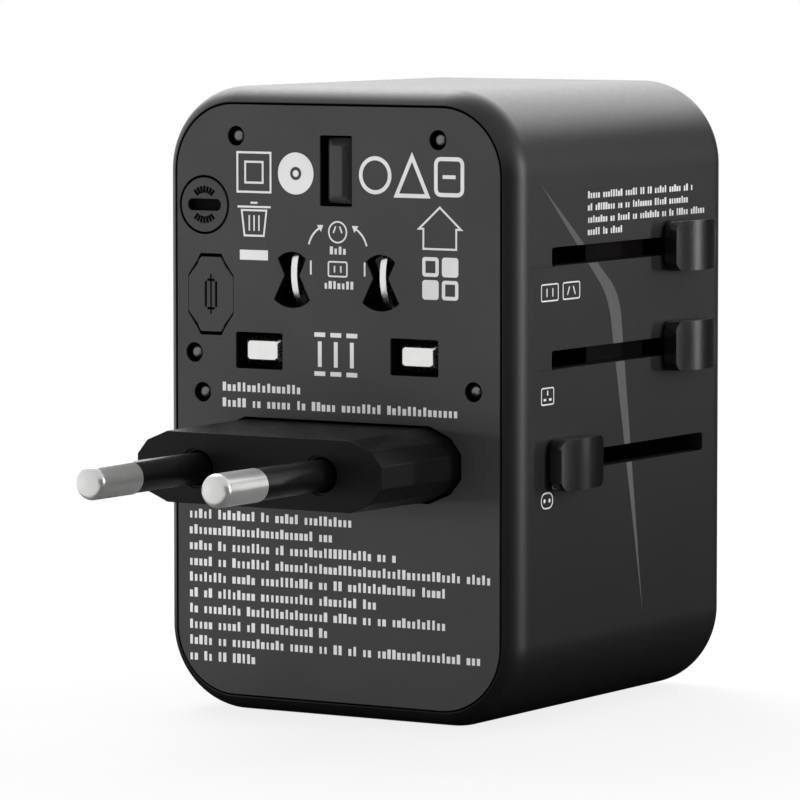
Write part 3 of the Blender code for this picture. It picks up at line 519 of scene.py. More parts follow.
def fuse_finish(node):
    """A ceramic tube with metal end caps, split by the place along the fuse."""
    low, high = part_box(node)
    cap = 0.0045
    finish = Finish(f"{node}_finish", (0.82, 0.8, 0.74), 0.25)
    split = finish.tree.nodes.new("ShaderNodeSeparateXYZ")
    finish.link(finish.place, split.inputs["Vector"])
    masks = []
    for operation, edge in (("LESS_THAN", low[1] + cap), ("GREATER_THAN", high[1] - cap)):
        test = finish.tree.nodes.new("ShaderNodeMath")
        test.operation = operation
        test.inputs[1].default_value = edge
        finish.link(split.outputs["Y"], test.inputs[0])
        masks.append(test.outputs["Value"])
    either = finish.tree.nodes.new("ShaderNodeMath")
    either.operation = "MAXIMUM"
    for number, mask in enumerate(masks):
        finish.link(mask, either.inputs[number])
    finish.link(either.outputs["Value"], finish.shader.inputs["Metallic"])
    finish.bump(finish.noise(2500, 3.0), 0.2, 0.00002)
    finish.vary_roughness(finish.noise(1500), 0.18, 0.32)
    return finish.material


def make_finishes():
    """Every finish of the part but the fuses', by name."""
    look = finishes()
    moulded("shell_satin", look.shell_color, look.shell_roughness, 7000, 0.000006, specular=0.38,
            spread_by=0.02)
    moulded("plate_matte", look.plate_color, look.plate_roughness, 5200, 0.000012, specular=0.15)
    # The front's grey, with painted shade on the walls of its holes from 0.12 mm behind the face.
    moulded("front_grey_with_painted_shade", look.plate_color, look.plate_roughness, 5200, 0.000012, specular=0.15,
            inside=FACE_Y + 0.12)
    moulded("knob_satin", look.knob_color, look.knob_roughness, 7000, 0.0000012, specular=0.9,
            spread_by=0.02)
    # Painted shade as well as black plastic: almost no colour and almost no gloss, so the insides of slots
    # and holes look deep in shade.
    moulded("inner_black", look.inner_plastic_and_shade, 0.5, 4200, 0.00001, specular=0.04)
    moulded("block_black", look.block_color, 0.42, 5200, 0.000006, specular=0.12)
    moulded("sleeve_black", (0.004, 0.004, 0.0042), 0.32, 6000, 0.000006, specular=0.4)
    moulded("ink_white", look.ink_color, 0.6, 6000, 0.000004, specular=0.1)
    moulded("ink_grey", look.stripe_color, 0.5, 6000, 0.000004, specular=0.25)
    moulded("port_insert", (0.72, 0.72, 0.7), 0.4, 5000, 0.000008)
    moulded("ferrite", (0.06, 0.06, 0.065), 0.6, 2600, 0.00003)
    moulded("capacitor_sleeve", (0.02, 0.035, 0.1), 0.3, 4000, 0.00001)
    plated("nickel_plate", look.nickel_color, 0.25, "y")
    plated("nickel_satin", [c * 0.8 for c in look.nickel_color], 0.3, "y", 0.7)
    plated("port_steel", (0.6, 0.6, 0.61), 0.28, "z")
    plated("spring_steel", (0.55, 0.55, 0.56), 0.3, "z")
    plated("brass", (0.76, 0.56, 0.26), 0.3, "y")
    plated("contact_gold", (0.83, 0.62, 0.25), 0.25, "z")
    plated("screw_black", (0.16, 0.16, 0.165), 0.3, "x")
    board_finish()


def finish_of(name):
    return Finish.made[name]


# ---------------------------------------------------------------- Geometry Nodes

class Tree:
    """A Geometry Nodes tree with named inputs, built in a few words."""

    def __init__(self, name, inputs):
        self.group = bpy.data.node_groups.new(name, "GeometryNodeTree")
        face = self.group.interface
        face.new_socket("Geometry", in_out="INPUT", socket_type="NodeSocketGeometry")
        for label, kind, value in inputs:
            socket = face.new_socket(label, in_out="INPUT", socket_type=kind)
            if value is not None:
                socket.default_value = value
        face.new_socket("Geometry", in_out="OUTPUT", socket_type="NodeSocketGeometry")
        self.inputs = self.add("NodeGroupInput").outputs
        self.end = self.add("NodeGroupOutput")

    def add(self, kind, values=None, **settings):
        """A node, with its settings and then its inputs given as values or sockets."""
        node = self.group.nodes.new(kind)
        for key, value in settings.items():
            setattr(node, key, value)
        for key, value in (values or {}).items():
            self.feed(node.inputs[key], value)
        return node

    def feed(self, socket, value):
        if isinstance(value, bpy.types.NodeSocket):
            self.group.links.new(value, socket)
        else:
            socket.default_value = value

    def math(self, operation, first, second, third=0.0):
        node = self.add("ShaderNodeMath", {0: first, 1: second, 2: third}, operation=operation)
        return node.outputs["Value"]

    def vector(self, x=0.0, y=0.0, z=0.0):
        return self.add("ShaderNodeCombineXYZ", {"X": x, "Y": y, "Z": z}).outputs["Vector"]

    def random(self, low, high, seed):
        """A random number for each point; each kind of draw adds its own offset to the seed."""
        node = self.add("FunctionNodeRandomValue", data_type="FLOAT")
        ends = [socket for socket in node.inputs if socket.type == "VALUE"]
        self.feed(ends[0], low)
        self.feed(ends[1], high)
        self.feed(node.inputs["Seed"], seed)
        return next(socket for socket in node.outputs if socket.type == "VALUE")

    def finish(self, instances):
        """Ends the tree in Realize Instances and Set Material."""
        real = self.add("GeometryNodeRealizeInstances", {"Geometry": instances})
        painted = self.add(
            "GeometryNodeSetMaterial",
            {"Geometry": real.outputs["Geometry"], "Material": self.inputs["Material"]})
        self.group.links.new(painted.outputs["Geometry"], self.end.inputs["Geometry"])


def grown(tree, points, values):
    """The plain mesh that a tree makes from a list of points, in the tree's own units."""
    seed_mesh = bpy.data.meshes.new("seed")
    seed_mesh.from_pydata([tuple(point) for point in points], [], [])
    holder = linked("holder", seed_mesh)
    step = holder.modifiers.new("grow", "NODES")
    step.node_group = tree.group
    sockets = {item.name: item.identifier for item in tree.group.interface.items_tree
               if item.in_out == "INPUT"}
    for label, value in values.items():
        step[sockets[label]] = value
    mesh = baked(holder)
    holder.modifiers.remove(step)
    discard(holder)
    return mesh


def row_tree():
    """A row of upright blocks of random width and height, with gaps between groups."""
    tree = Tree("printed_row", (
        ("Count", "NodeSocketInt", 10), ("Step", "NodeSocketFloat", 0.75),
        ("Width", "NodeSocketFloat", 0.5), ("Height", "NodeSocketFloat", 1.0),
        ("Thickness", "NodeSocketFloat", 0.05), ("Gap Chance", "NodeSocketFloat", 0.4),
        ("Seed", "NodeSocketInt", 0), ("Material", "NodeSocketMaterial", None)))
    given = tree.inputs
    line = tree.add("GeometryNodeMeshLine", {
        "Count": given["Count"], "Offset": tree.vector(x=given["Step"])})
    chance = tree.random(0.0, 1.0, given["Seed"])
    gap = tree.add("FunctionNodeCompare", data_type="FLOAT", operation="LESS_THAN")
    tree.feed(gap.inputs[0], chance)
    tree.feed(gap.inputs[1], given["Gap Chance"])
    index = tree.add("GeometryNodeInputIndex").outputs["Index"]
    third_place = tree.math("GREATER_THAN", tree.math("MODULO", index, 3.0), 1.5)
    spaces = tree.math("MULTIPLY", third_place, gap.outputs["Result"])
    kept = tree.add("GeometryNodeDeleteGeometry", {
        "Geometry": line.outputs["Mesh"], "Selection": spaces}, domain="POINT")
    block = tree.add("GeometryNodeMeshCube", {"Size": (1.0, 1.0, 1.0)})
    raised = tree.add("GeometryNodeTransform", {
        "Geometry": block.outputs["Mesh"], "Translation": (0.0, 0.5, 0.0)})
    other_seed = tree.math("ADD", given["Seed"], 17)
    third_seed = tree.math("ADD", given["Seed"], 31)
    width = tree.math("MULTIPLY", given["Width"], tree.random(0.7, 1.12, other_seed))
    tall = tree.math("GREATER_THAN", tree.random(0.0, 1.0, third_seed), 0.68)
    height = tree.math("MULTIPLY", given["Height"], tree.math("MULTIPLY_ADD", tall, 0.26, 0.74))
    copies = tree.add("GeometryNodeInstanceOnPoints", {
        "Points": kept.outputs["Geometry"], "Instance": raised.outputs["Geometry"],
        "Scale": tree.vector(width, height, given["Thickness"])})
    tree.finish(copies.outputs["Instances"])
    return tree


def scatter_tree(name):
    """Copies of one object at the points it is given, each with a random turn about one axis."""
    tree = Tree(name, (
        ("Pattern", "NodeSocketObject", None), ("Turn", "NodeSocketFloat", 0.0),
        ("Seed", "NodeSocketInt", 0), ("Material", "NodeSocketMaterial", None)))
    given = tree.inputs
    pattern = tree.add("GeometryNodeObjectInfo", {"Object": given["Pattern"]})
    turn = tree.math("MULTIPLY", given["Turn"], tree.random(-1.0, 1.0, given["Seed"]))
    angle = tree.add("FunctionNodeEulerToRotation", {"Euler": tree.vector(y=turn)})
    copies = tree.add("GeometryNodeInstanceOnPoints", {
        "Points": given["Geometry"], "Instance": pattern.outputs["Geometry"],
        "Rotation": angle.outputs["Rotation"]})
    tree.finish(copies.outputs["Instances"])
    return tree


def strip_tree():
    """Equal bars in a straight row, for the ports' contacts."""
    tree = Tree("bar_strip", (
        ("Count", "NodeSocketInt", 4), ("Offset", "NodeSocketVector", (0.0, 1.0, 0.0)),
        ("Bar", "NodeSocketVector", (0.1, 0.1, 1.0)), ("Material", "NodeSocketMaterial", None)))
    given = tree.inputs
    line = tree.add("GeometryNodeMeshLine", {"Count": given["Count"], "Offset": given["Offset"]})
    bar = tree.add("GeometryNodeMeshCube", {"Size": given["Bar"]})
    copies = tree.add("GeometryNodeInstanceOnPoints", {
        "Points": line.outputs["Mesh"], "Instance": bar.outputs["Mesh"]})
    tree.finish(copies.outputs["Instances"])
    return tree


def strip(tree, start, count, offset, bar):
    """A strip of bars as a bmesh in millimetres, with its first bar's middle at start."""
    mesh = grown(tree, [(0, 0, 0)], {
        "Count": count, "Offset": offset, "Bar": bar, "Material": finish_of("contact_gold")})
    mesh.transform(Matrix.Translation(start))
    return as_form(mesh)


# ---------------------------------------------------------------- printing

def corner_step(behind, ahead, width):
    """From a line's middle to its left edge at a corner, given the two directions there."""
    along = (ahead + behind).normalized()
    sharpest = 0.35
    return Vector((-along.y, along.x)) * width / 2 / max(sharpest, along.dot(ahead))


class Ink:
    """Thin printed shapes on one face of the adapter, gathered into one mesh.

    Shapes are drawn in (u, v) as someone looking at the face sees them: u to the right, v up.
    """

    DEPTH = 0.05

    def __init__(self, face):
        relief = mm(sizes().ink_height)
        if face == FRONT:
            self.matrix = Matrix(((1, 0, 0, 0), (0, 0, -1, FACE_Y - relief), (0, 1, 0, 0), (0, 0, 0, 1)))
        else:
            self.matrix = Matrix(((0, 0, 1, SIDE_X + relief), (1, 0, 0, 0), (0, 1, 0, 0), (0, 0, 0, 1)))
        self.forms = []

    def keep(self, form):
        """Turns a form from (u, v, height) onto the face and keeps it."""
        bmesh.ops.transform(form, matrix=self.matrix, verts=form.verts)
        bmesh.ops.recalc_face_normals(form, faces=form.faces)
        self.forms.append(form)

    def solid(self, outline):
        self.keep(prism(outline, "z", -self.DEPTH, 0))

    def band(self, outer, inner):
        """The area between two outlines that have as many points each."""
        rings = []
        for outline, height in ((outer, 0), (outer, -self.DEPTH), (inner, -self.DEPTH), (inner, 0)):
            rings.append([(u, v, height) for u, v in outline])
        self.keep(loft(rings, closed=True))

    def bar(self, low, high):
        self.solid(square(low, high))

    def ring(self, center, radius, width):
        self.band(circle(radius, center), circle(radius - width, center))

    def frame(self, center, half, width, corner=0.02):
        inner = (half[0] - width, half[1] - width)
        inner_corner = max(0.01, corner - width)
        self.band(rounded(half, corner, center, 4), rounded(inner, inner_corner, center, 4))

    def stroke(self, points, width):
        """A line of even width through points, with square ends."""
        spots = [Vector(point) for point in points]
        runs = [(after - here).normalized() for here, after in zip(spots, spots[1:])]
        near, far = [], []
        for here, behind, ahead in zip(spots, [runs[0], *runs], [*runs, runs[-1]]):
            side = corner_step(behind, ahead, width)
            near.append(tuple(here + side))
            far.append(tuple(here - side))
        self.solid(far + list(reversed(near)))

    def loop(self, points, width):
        """A closed outline drawn with an even line."""
        spots = [Vector(point) for point in points]
        runs = [(after - here).normalized() for here, after in zip(spots, spots[1:] + spots[:1])]
        inner, outer = [], []
        for here, behind, ahead in zip(spots, runs[-1:] + runs[:-1], runs):
            side = corner_step(behind, ahead, width)
            inner.append(tuple(here + side))
            outer.append(tuple(here - side))
        self.band(outer, inner)

    def row(self, tree, start, length, height, step, seed):
        """A printed row of blocks from start, its lower left corner, to about this length."""
        block_share = 0.66
        mesh = grown(tree, [(0, 0, 0)], {
            "Count": max(1, round(length / step)), "Step": step, "Width": step * block_share,
            "Height": height, "Thickness": self.DEPTH, "Seed": seed, "Material": finish_of("ink_white")})
        mesh.transform(Matrix.Translation((start[0] + step / 2, start[1], -self.DEPTH / 2)))
        self.keep(as_form(mesh))

    def mesh(self):
        """All shapes kept so far as one mesh in metres."""
        made = as_mesh(joined(self.forms), "ink")
        made.transform(Matrix.Scale(MM, 4))
        return made


# ---------------------------------------------------------------- housing

KNOB_NODES = ("us_knob", "uk_knob", "eu_knob")
PORT_NAMES = ("usb_a_1", "usb_a_2", "usb_a_3", "usb_c_1", "usb_c_2")
SHELL_WALL = 2.0
WALL_GAP = 0.06
MOUTH_DEPTH = 3.0
LIP_OVERLAP = 0.55
RIM_SHARE = 0.955

# Both ends of the slots are measured from the plug face.
SLOT_START = 8.6
SLOT_END = 46.6
SLOT_HEIGHT = 2.28
SLOT_CORNER = 0.4


def rim_profile():
    """(inset, depth) from the mouth's inner edge over the lip and the rounded rim to the flat side."""
    inset, depth = mm(sizes().rim_inset), mm(sizes().rim_depth)
    lip = mm(sizes().lip_round)
    radius = (inset ** 2 + depth ** 2) / (2 * inset)
    sweep = math.asin(depth / radius)
    lip_steps, rim_steps = 4, 18
    profile = []
    for step in range(lip_steps):
        angle = math.radians(90 * step / lip_steps)
        profile.append((inset + lip * (math.cos(angle) - LIP_OVERLAP), lip * (1 - math.sin(angle))))
    start = sweep * RIM_SHARE
    for step in range(rim_steps + 1):
        angle = start * (1 - step / rim_steps)
        profile.append((radius * (1 - math.cos(angle)), depth - radius * math.sin(angle)))
    return profile


def slot_cutter(node):
    """The slot of one slider, which runs past its neck at both ends of its travel."""
    half = ((SLOT_END - SLOT_START) / 2, SLOT_HEIGHT / 2)
    middle = (FACE_Y + (SLOT_START + SLOT_END) / 2, middle_of(node).z)
    return prism(rounded(half, SLOT_CORNER, middle, 6), "x", SIDE_X - 2 * SHELL_WALL, SIDE_X + 1)


def groove_cutter(node):
    """The fine line in the shell that leads from the rim to the start of a slot's lower edge."""
    edge = middle_of(node).z - SLOT_HEIGHT / 2
    low = (SIDE_X - 0.16, FACE_Y + mm(sizes().rim_depth) + 0.9, edge - 0.07)
    high = (SIDE_X + 1, FACE_Y + SLOT_START + 0.5, edge + 0.09)
    return box(low, high)


def port_outline(name, grow):
    """A port's outline from below: a small port has round ends, a large one small corners."""
    half = half_of(f"{name}_shell")
    middle = middle_of(f"{name}_shell")
    size = (half.x + grow, half.y + grow)
    corner = size[0] * 0.98 if "_c_" in name else 0.5
    return rounded(size, corner, (middle.x, middle.y), 8)


def housing_mesh():
    """The shell: its skin runs from rim to rim outside and back inside, with slots and port openings."""
    rim = rim_profile()
    length = SHELL_HIGH.y - SHELL_LOW.y
    back = [(inset, length - depth) for inset, depth in reversed(rim)]
    mouth, wall = rim[0][0], SHELL_WALL + WALL_GAP
    inside = [(mouth, length - MOUTH_DEPTH), (wall, length - MOUTH_DEPTH)]
    inside += [(wall, MOUTH_DEPTH), (mouth, MOUTH_DEPTH)]
    half = (SHELL_HIGH.x, (SHELL_HIGH.z - SHELL_LOW.z) / 2)
    corner = mm(sizes().housing_corner)
    rings = []
    for inset, depth in rim + back + inside:
        outline = rounded((half[0] - inset, half[1] - inset), corner - inset, (0, half[1]), 26)
        rings.append([(u, FACE_Y + depth, v) for u, v in outline])
    slots = [slot_cutter(node) for node in KNOB_NODES]
    ports = [prism(port_outline(name, FIT), "z", -1, SHELL_WALL + 1) for name in PORT_NAMES]
    grooves = [groove_cutter(node) for node in ("us_knob", "uk_knob")]
    return shaped(loft(rings, closed=True), slots + ports, bevel=mm(sizes().edge_round), late_cuts=grooves)


class ADAPTER_OT_housing(bpy.types.Operator):
    """Builds the housing's outer shell with its rounded rims, slots and port openings"""

    bl_idname = "adapter.housing"
    bl_label = "Housing shell"

    def execute(self, context):
        piece("outer_shell", housing_mesh(), finish_of("shell_satin"), HOUSING,
              ("housing_shell",))
        return {"FINISHED"}


# ---------------------------------------------------------------- plug face

SCREWS = [f"plate_screw_{number}" for number in range(1, 6)]
SCREW_HOLE = 1.22
SIGN_DEPTH = 0.4

# A blade turns by TWIST degrees either way, and its slot leaves SLOT_GAP round it.
TWIST = 30
SLOT_GAP = 0.25
WAIST_FLAT = 0.1
BLADE_HALF = 0.75

# The European plug's block: half its width and height, where its slopes start, and its mould draft.
BLOCK_HALF = (17.3, 4.3)
BLOCK_SHOULDER = 13.6
BLOCK_DRAFT = 0.12


def joint_of(name):
    """A joint's entry in the frame's record."""
    for joint in frame["record"]["behaviour"]["joints"]:
        if joint["name"] == name:
            return joint
    raise ValueError(f"the frame has no joint {name}")


def pivot_of(blade):
    """The point that a blade turns about, on the front face of its carriage."""
    side = "left" if "left" in blade else "right"
    return Vector(joint_of(f"us_{side}_twist")["pos_m"]) / MM


def twist_slot(node):
    """The bow-tie opening that lets a blade turn either way about its off-centre pivot."""
    pivot = pivot_of(node)
    low, high = box_mm(node)
    half = BLADE_HALF + SLOT_GAP
    waist = half / math.cos(math.radians(TWIST))
    outline = []
    for side, reach in ((1, high.z - pivot.z + SLOT_GAP), (-1, pivot.z - low.z + SLOT_GAP)):
        fan = math.degrees(math.atan2(half, reach)) + TWIST - 3
        outline += [(side * waist, -side * WAIST_FLAT), (side * waist, side * WAIST_FLAT)]
        radius = math.hypot(reach, half * 0.35)
        outline += arc((0, 0), radius, 180 - side * 90 - fan, 180 - side * 90 + fan)
    return [(pivot.x + u, pivot.z + v) for u, v in outline]


def block_outline(grow=0.0):
    """The European plug's six-sided outline, with its end points blunted and its shoulders eased."""
    half_w, half_h = BLOCK_HALF[0] + grow, BLOCK_HALF[1] + grow
    shoulder = BLOCK_SHOULDER + grow / 2
    blunt = half_h * 0.32
    eased = ((half_w + shoulder) / 2 + 0.45, half_h * 0.72)
    quarter = [(half_w, blunt), eased, (shoulder - 0.6, half_h)]
    outline = [(half_w, -blunt), *quarter]
    outline += [(-u, v) for u, v in reversed(quarter)]
    outline += [(-u, -v) for u, v in quarter]
    outline += [(u, -v) for u, v in reversed(quarter[1:])]
    rise = middle_of("eu_pin_left").z
    return [(u, rise + v) for u, v in outline]


def cover_outline(grow=0.0, side=0.0, lift=0.0):
    """The fuse cover: an octagon with a tab at its top and bottom; its sides and tab ends grow apart."""
    half, middle = half_of("fuse_cover"), middle_of("fuse_cover")
    half_w, half_h = half.x + grow, half.z + grow
    shoulder = (half.x * 0.58 + grow, half.z * 0.82 + grow)
    quarter = [(half.x + side, half.z * 0.46 + grow), shoulder, (half_w * 0.56, half_h * 0.88),
               (half_w * 0.44, half_h + lift)]
    outline = quarter + [(-u, v) for u, v in reversed(quarter)]
    outline += [(-u, -v) for u, v in quarter] + [(u, -v) for u, v in reversed(quarter)]
    return [(middle.x + u, middle.z + v) for u, v in outline]


def plate_outline():
    """The outline that both end plates share."""
    half = ((PLATE_HIGH.x - PLATE_LOW.x) / 2, (PLATE_HIGH.z - PLATE_LOW.z) / 2)
    center = (0, (PLATE_HIGH.z + PLATE_LOW.z) / 2)
    return rounded(half, mm(sizes().plate_corner), center, 20)


def plug_plate_mesh():
    """The plug face plate, cut for all that passes through it."""
    outlines = []
    for node in ("uk_pin_live", "uk_pin_neutral", "uk_earth_pin"):
        half, middle = half_of(node), middle_of(node)
        outlines.append(rounded((half.x + FIT, half.z + FIT), 0.25, (middle.x, middle.z), 4))
    outlines += [twist_slot(node) for node in ("us_blade_left", "us_blade_right")]
    outlines.append(block_outline(BLOCK_DRAFT + FIT))
    outlines.append(cover_outline(grow=0.22, side=0.03, lift=0.2))
    cap = middle_of("spare_fuse_cap")
    outlines.append(circle(half_of("spare_fuse_cap").x + FIT, (cap.x, cap.z), 64))
    for node in SCREWS:
        spot = middle_of(node)
        outlines.append(circle(SCREW_HOLE, (spot.x, spot.z), 32))
    cuts = [prism(outline, "y", PLATE_LOW.y - 1, PLATE_HIGH.y + 1) for outline in outlines]
    plate = prism(plate_outline(), "y", PLATE_LOW.y, PLATE_HIGH.y)
    return shaped(plate, cuts, bevel=mm(sizes().edge_round) * 0.8)


class ADAPTER_OT_plug_plate(bpy.types.Operator):
    """Builds the plug face plate with an opening for every pin, blade, cover and screw"""

    bl_idname = "adapter.plug_plate"
    bl_label = "Plug face plate"

    def execute(self, context):
        # Its finish paints shade on the walls of the plate's openings.
        piece("front_plate", plug_plate_mesh(), finish_of("front_grey_with_painted_shade"), HOUSING,
              ("plug_face_plate",))
        return {"FINISHED"}


def screw_mesh():
    """A domed screw head on its shank, with the plate's face at Y = 0."""
    low, high = box_mm(SCREWS[0])
    radius, shank = (high.x - low.x) / 2, 0.65
    sunk, dome_height, seat = 0.25, 0.85, 1.35
    steps = 12
    profile = []
    for step in range(steps + 1):
        angle = math.radians(90 * step / steps)
        profile.append((max(0.03, radius * math.sin(angle)), sunk + dome_height * (1 - math.cos(angle))))
    profile += [(radius, seat), (shank, seat), (shank, high.y - low.y)]
    mesh = shaped(turned(profile, (0, 0), 40), angle=50)
    mesh.transform(Matrix.Scale(1 / MM, 4))
    return mesh


class ADAPTER_OT_screws(bpy.types.Operator):
    """Builds the five domed screws that hold the plug face plate, by Geometry Nodes"""

    bl_idname = "adapter.screws"
    bl_label = "Plate screws"

    def execute(self, context):
        black = finish_of("screw_black")
        pattern = linked("pattern", screw_mesh())
        spots = [(middle_of(node).x, FACE_Y, middle_of(node).z) for node in SCREWS]
        mesh = grown(scatter_tree("plate_screws"), spots, {
            "Pattern": pattern, "Turn": 1.4, "Seed": 3, "Material": black})
        discard(pattern)
        piece("plate_screws", settled(mesh), black, HOUSING, SCREWS)
        return {"FINISHED"}


def cover_mesh():
    """The fuse cover, with a generic fuse sign let into it: a tube and the wire through it."""
    low, high = box_mm("fuse_cover")
    middle = middle_of("fuse_cover")
    half_line, half_wire = 0.16, 0.12
    grooves = []
    for side in (-1, 1):
        wall, end = side * 0.75, side * 1.75
        grooves.append(((wall - half_line, -1.6), (wall + half_line, 1.6)))
        grooves.append(((-0.55, end - half_line), (0.55, end + half_line)))
    grooves.append(((-half_wire, -2.45), (half_wire, 2.45)))
    cuts = []
    for start, end in grooves:
        cuts.append(box((middle.x + start[0], low.y - 1, middle.z + start[1]),
                        (middle.x + end[0], low.y + SIGN_DEPTH, middle.z + end[1])))
    return shaped(prism(cover_outline(), "y", low.y, high.y), bevel=mm(sizes().edge_round) * 0.7,
                  late_cuts=cuts)


def cap_mesh():
    """The spare fuse's cap: a disc with a coin slot and two arcs of short ticks."""
    low, high = box_mm("spare_fuse_cap")
    middle = middle_of("spare_fuse_cap")
    center = (middle.x, middle.z)
    coin = prism(rounded((2.4, 0.72), 0.65, center, 8), "y", low.y - 1, low.y + 0.8)
    ticks = []
    for base in (90, 270):
        for step in range(-3, 4):
            angle = math.radians(base + step * 13)
            outline = []
            for across, along in ((-0.17, 1.45), (0.17, 1.45), (0.19, 2.3), (-0.19, 2.3)):
                u = center[0] + along * math.cos(angle) - across * math.sin(angle)
                v = center[1] + along * math.sin(angle) + across * math.cos(angle)
                outline.append((u, v))
            ticks.append(prism(outline, "y", low.y - 1, low.y + SIGN_DEPTH))
    disc = circle((high.x - low.x) / 2, center, 64)
    return shaped(prism(disc, "y", low.y, high.y), [coin], bevel=mm(sizes().edge_round) * 0.7,
                  late_cuts=ticks)


class ADAPTER_OT_fuse_doors(bpy.types.Operator):
    """Builds the fuse cover and the spare fuse's round cap, and finishes both fuses"""

    bl_idname = "adapter.fuse_doors"
    bl_label = "Fuse cover and cap"

    def execute(self, context):
        # This finish paints shade on the walls of the sign's grooves, the ticks and the coin slot.
        plastic = finish_of("front_grey_with_painted_shade")
        piece("fuse_door", cover_mesh(), plastic, "fuse_door", ("fuse_cover",))
        piece("spare_cap", cap_mesh(), plastic, "spare_cap", ("spare_fuse_cap",))
        for node in ("main_fuse", "spare_fuse"):
            dress(node, fuse_finish(node))
        dress("fuse_contact", finish_of("brass"))
        return {"FINISHED"}


# ---------------------------------------------------------------- printed marks

# Heights on the plug face are given from PRINT_MIDDLE, and the long rows by their lengths.
PRINT_MIDDLE = 38.71
ROW_PITCH = 1.961
ROW_LENGTHS = (23.5, 20.8, 30.0, 44.0, 37.0, 27.0, 37.0, 20.0, 42.0, 10.5)


def draw_top_signs(ink):
    """The top line: nested squares, a disc with an eye, a ring, a triangle and a tablet."""
    line = PRINT_MIDDLE + 27.85
    for half in (2.54, 1.4):
        ink.frame((-11.81, line), (half, half), 0.26)
    ink.ring((-5.76, line - 0.02), 2.56, 1.75)
    ink.solid(circle(0.42, (-5.76, line - 0.02), 24))
    ink.ring((5.6, line + 0.02), 2.3, 0.5)
    ink.loop([(8.6, line - 2.35), (13.0, line - 2.35), (10.8, line + 2.35)], 0.5)
    ink.frame((16.0, line + 0.02), (2.1, 2.4), 0.5, 0.9)
    ink.bar((15.1, line - 0.2), (16.9, line + 0.25))


def draw_bin(ink):
    """A waste bin with its lid, its handle and three ribs, over a plain bar."""
    base = PRINT_MIDDLE + 20.1
    ink.loop([(-13.2, base), (-10.4, base), (-10.0, base + 3.1), (-13.6, base + 3.1)], 0.24)
    ink.bar((-14.2, base + 3.4), (-9.4, base + 3.65))
    ink.bar((-12.3, base + 3.9), (-11.3, base + 4.15))
    for x in (-12.5, -11.8, -11.1):
        ink.bar((x - 0.1, base + 0.6), (x + 0.1, base + 2.5))
    ink.bar((-13.88, base - 2.98), (-9.8, base - 1.76))


def draw_house_and_tiles(ink):
    """A house outline over four small tiles, two of them hollow."""
    eaves = PRINT_MIDDLE + 21.6
    house = [(12.4, eaves - 2.4), (17.0, eaves - 2.4), (17.0, eaves), (17.66, eaves),
             (14.7, eaves + 2.6), (11.78, eaves), (12.4, eaves)]
    ink.loop(house, 0.24)
    for row, middle in enumerate((17.04, 14.28)):
        for column in range(2):
            center = (13.4 + column * 2.75, PRINT_MIDDLE + middle)
            if row == column:
                ink.frame(center, (1.15, 1.18), 0.45, 0.4)
            else:
                ink.solid(rounded((1.15, 1.18), 0.4, center, 5))


def draw_posts(ink):
    """Three posts side by side, each with a foot and a head."""
    base = PRINT_MIDDLE + 3.3
    for column in range(3):
        x = -3.1 + column * 2.3
        ink.bar((x, base), (x + 1.55, base + 0.55))
        ink.bar((x, base + 4.75), (x + 1.55, base + 5.3))
        ink.bar((x + 0.5, base + 1.1), (x + 1.05, base + 4.2))


def draw_twist_guide(ink, rows):
    """Small pictures that show which way the two blades turn."""
    top, middle = PRINT_MIDDLE, 0.25
    ink.ring((middle, top + 20.85), 1.36, 0.2)
    for side in (-1, 1):
        ink.stroke([(middle + side * 0.62, top + 20.75), (middle + side * 0.28, top + 21.55)], 0.2)
    ink.frame((middle, top + 16.36), (1.42, 0.98), 0.2, 0.3)
    for side in (-1, 1):
        x = middle + side * 0.45
        ink.bar((x - 0.1, top + 15.95), (x + 0.1, top + 16.75))
        turn = arc((middle + side * 0.9, top + 18.4), 3.35, 90 - side * 75, 90 - side * 32, 9)
        ink.stroke(turn, 0.24)
        tip = Vector(turn[-1])
        ahead = (tip - Vector(turn[-2])).normalized()
        across = Vector((-ahead.y, ahead.x))
        ink.solid([tuple(tip + ahead * 0.75), tuple(tip + across * 0.5), tuple(tip - across * 0.5)])
        tick = middle + side * 3.85
        ink.bar((tick - 0.12, top + 15.6), (tick + 0.12, top + 17.3))
    seed = sizes().print_seed
    ink.row(rows, (-0.95, top + 18.15), 2.5, 0.95, 0.62, seed + 40)
    ink.row(rows, (-1.75, top + 13.95), 4.1, 0.95, 0.62, seed + 52)


def draw_rows(ink, rows):
    """The printed rows under the signs and under the European plug."""
    seed = sizes().print_seed
    for number, (rise, length) in enumerate(((0.92, 11.2), (-1.02, 33.6)), 1):
        ink.row(rows, (-16.56, PRINT_MIDDLE + rise), length, 1.1, 0.72, seed + number)
    for number, length in enumerate(ROW_LENGTHS):
        base = PRINT_MIDDLE - 15.02 - number * ROW_PITCH
        ink.row(rows, (-21.5, base), length, 1.15, 0.7, seed + 3 + number)


def side_u(depth):
    """The place along the side of a point this far in from the plug face."""
    return FACE_Y + depth


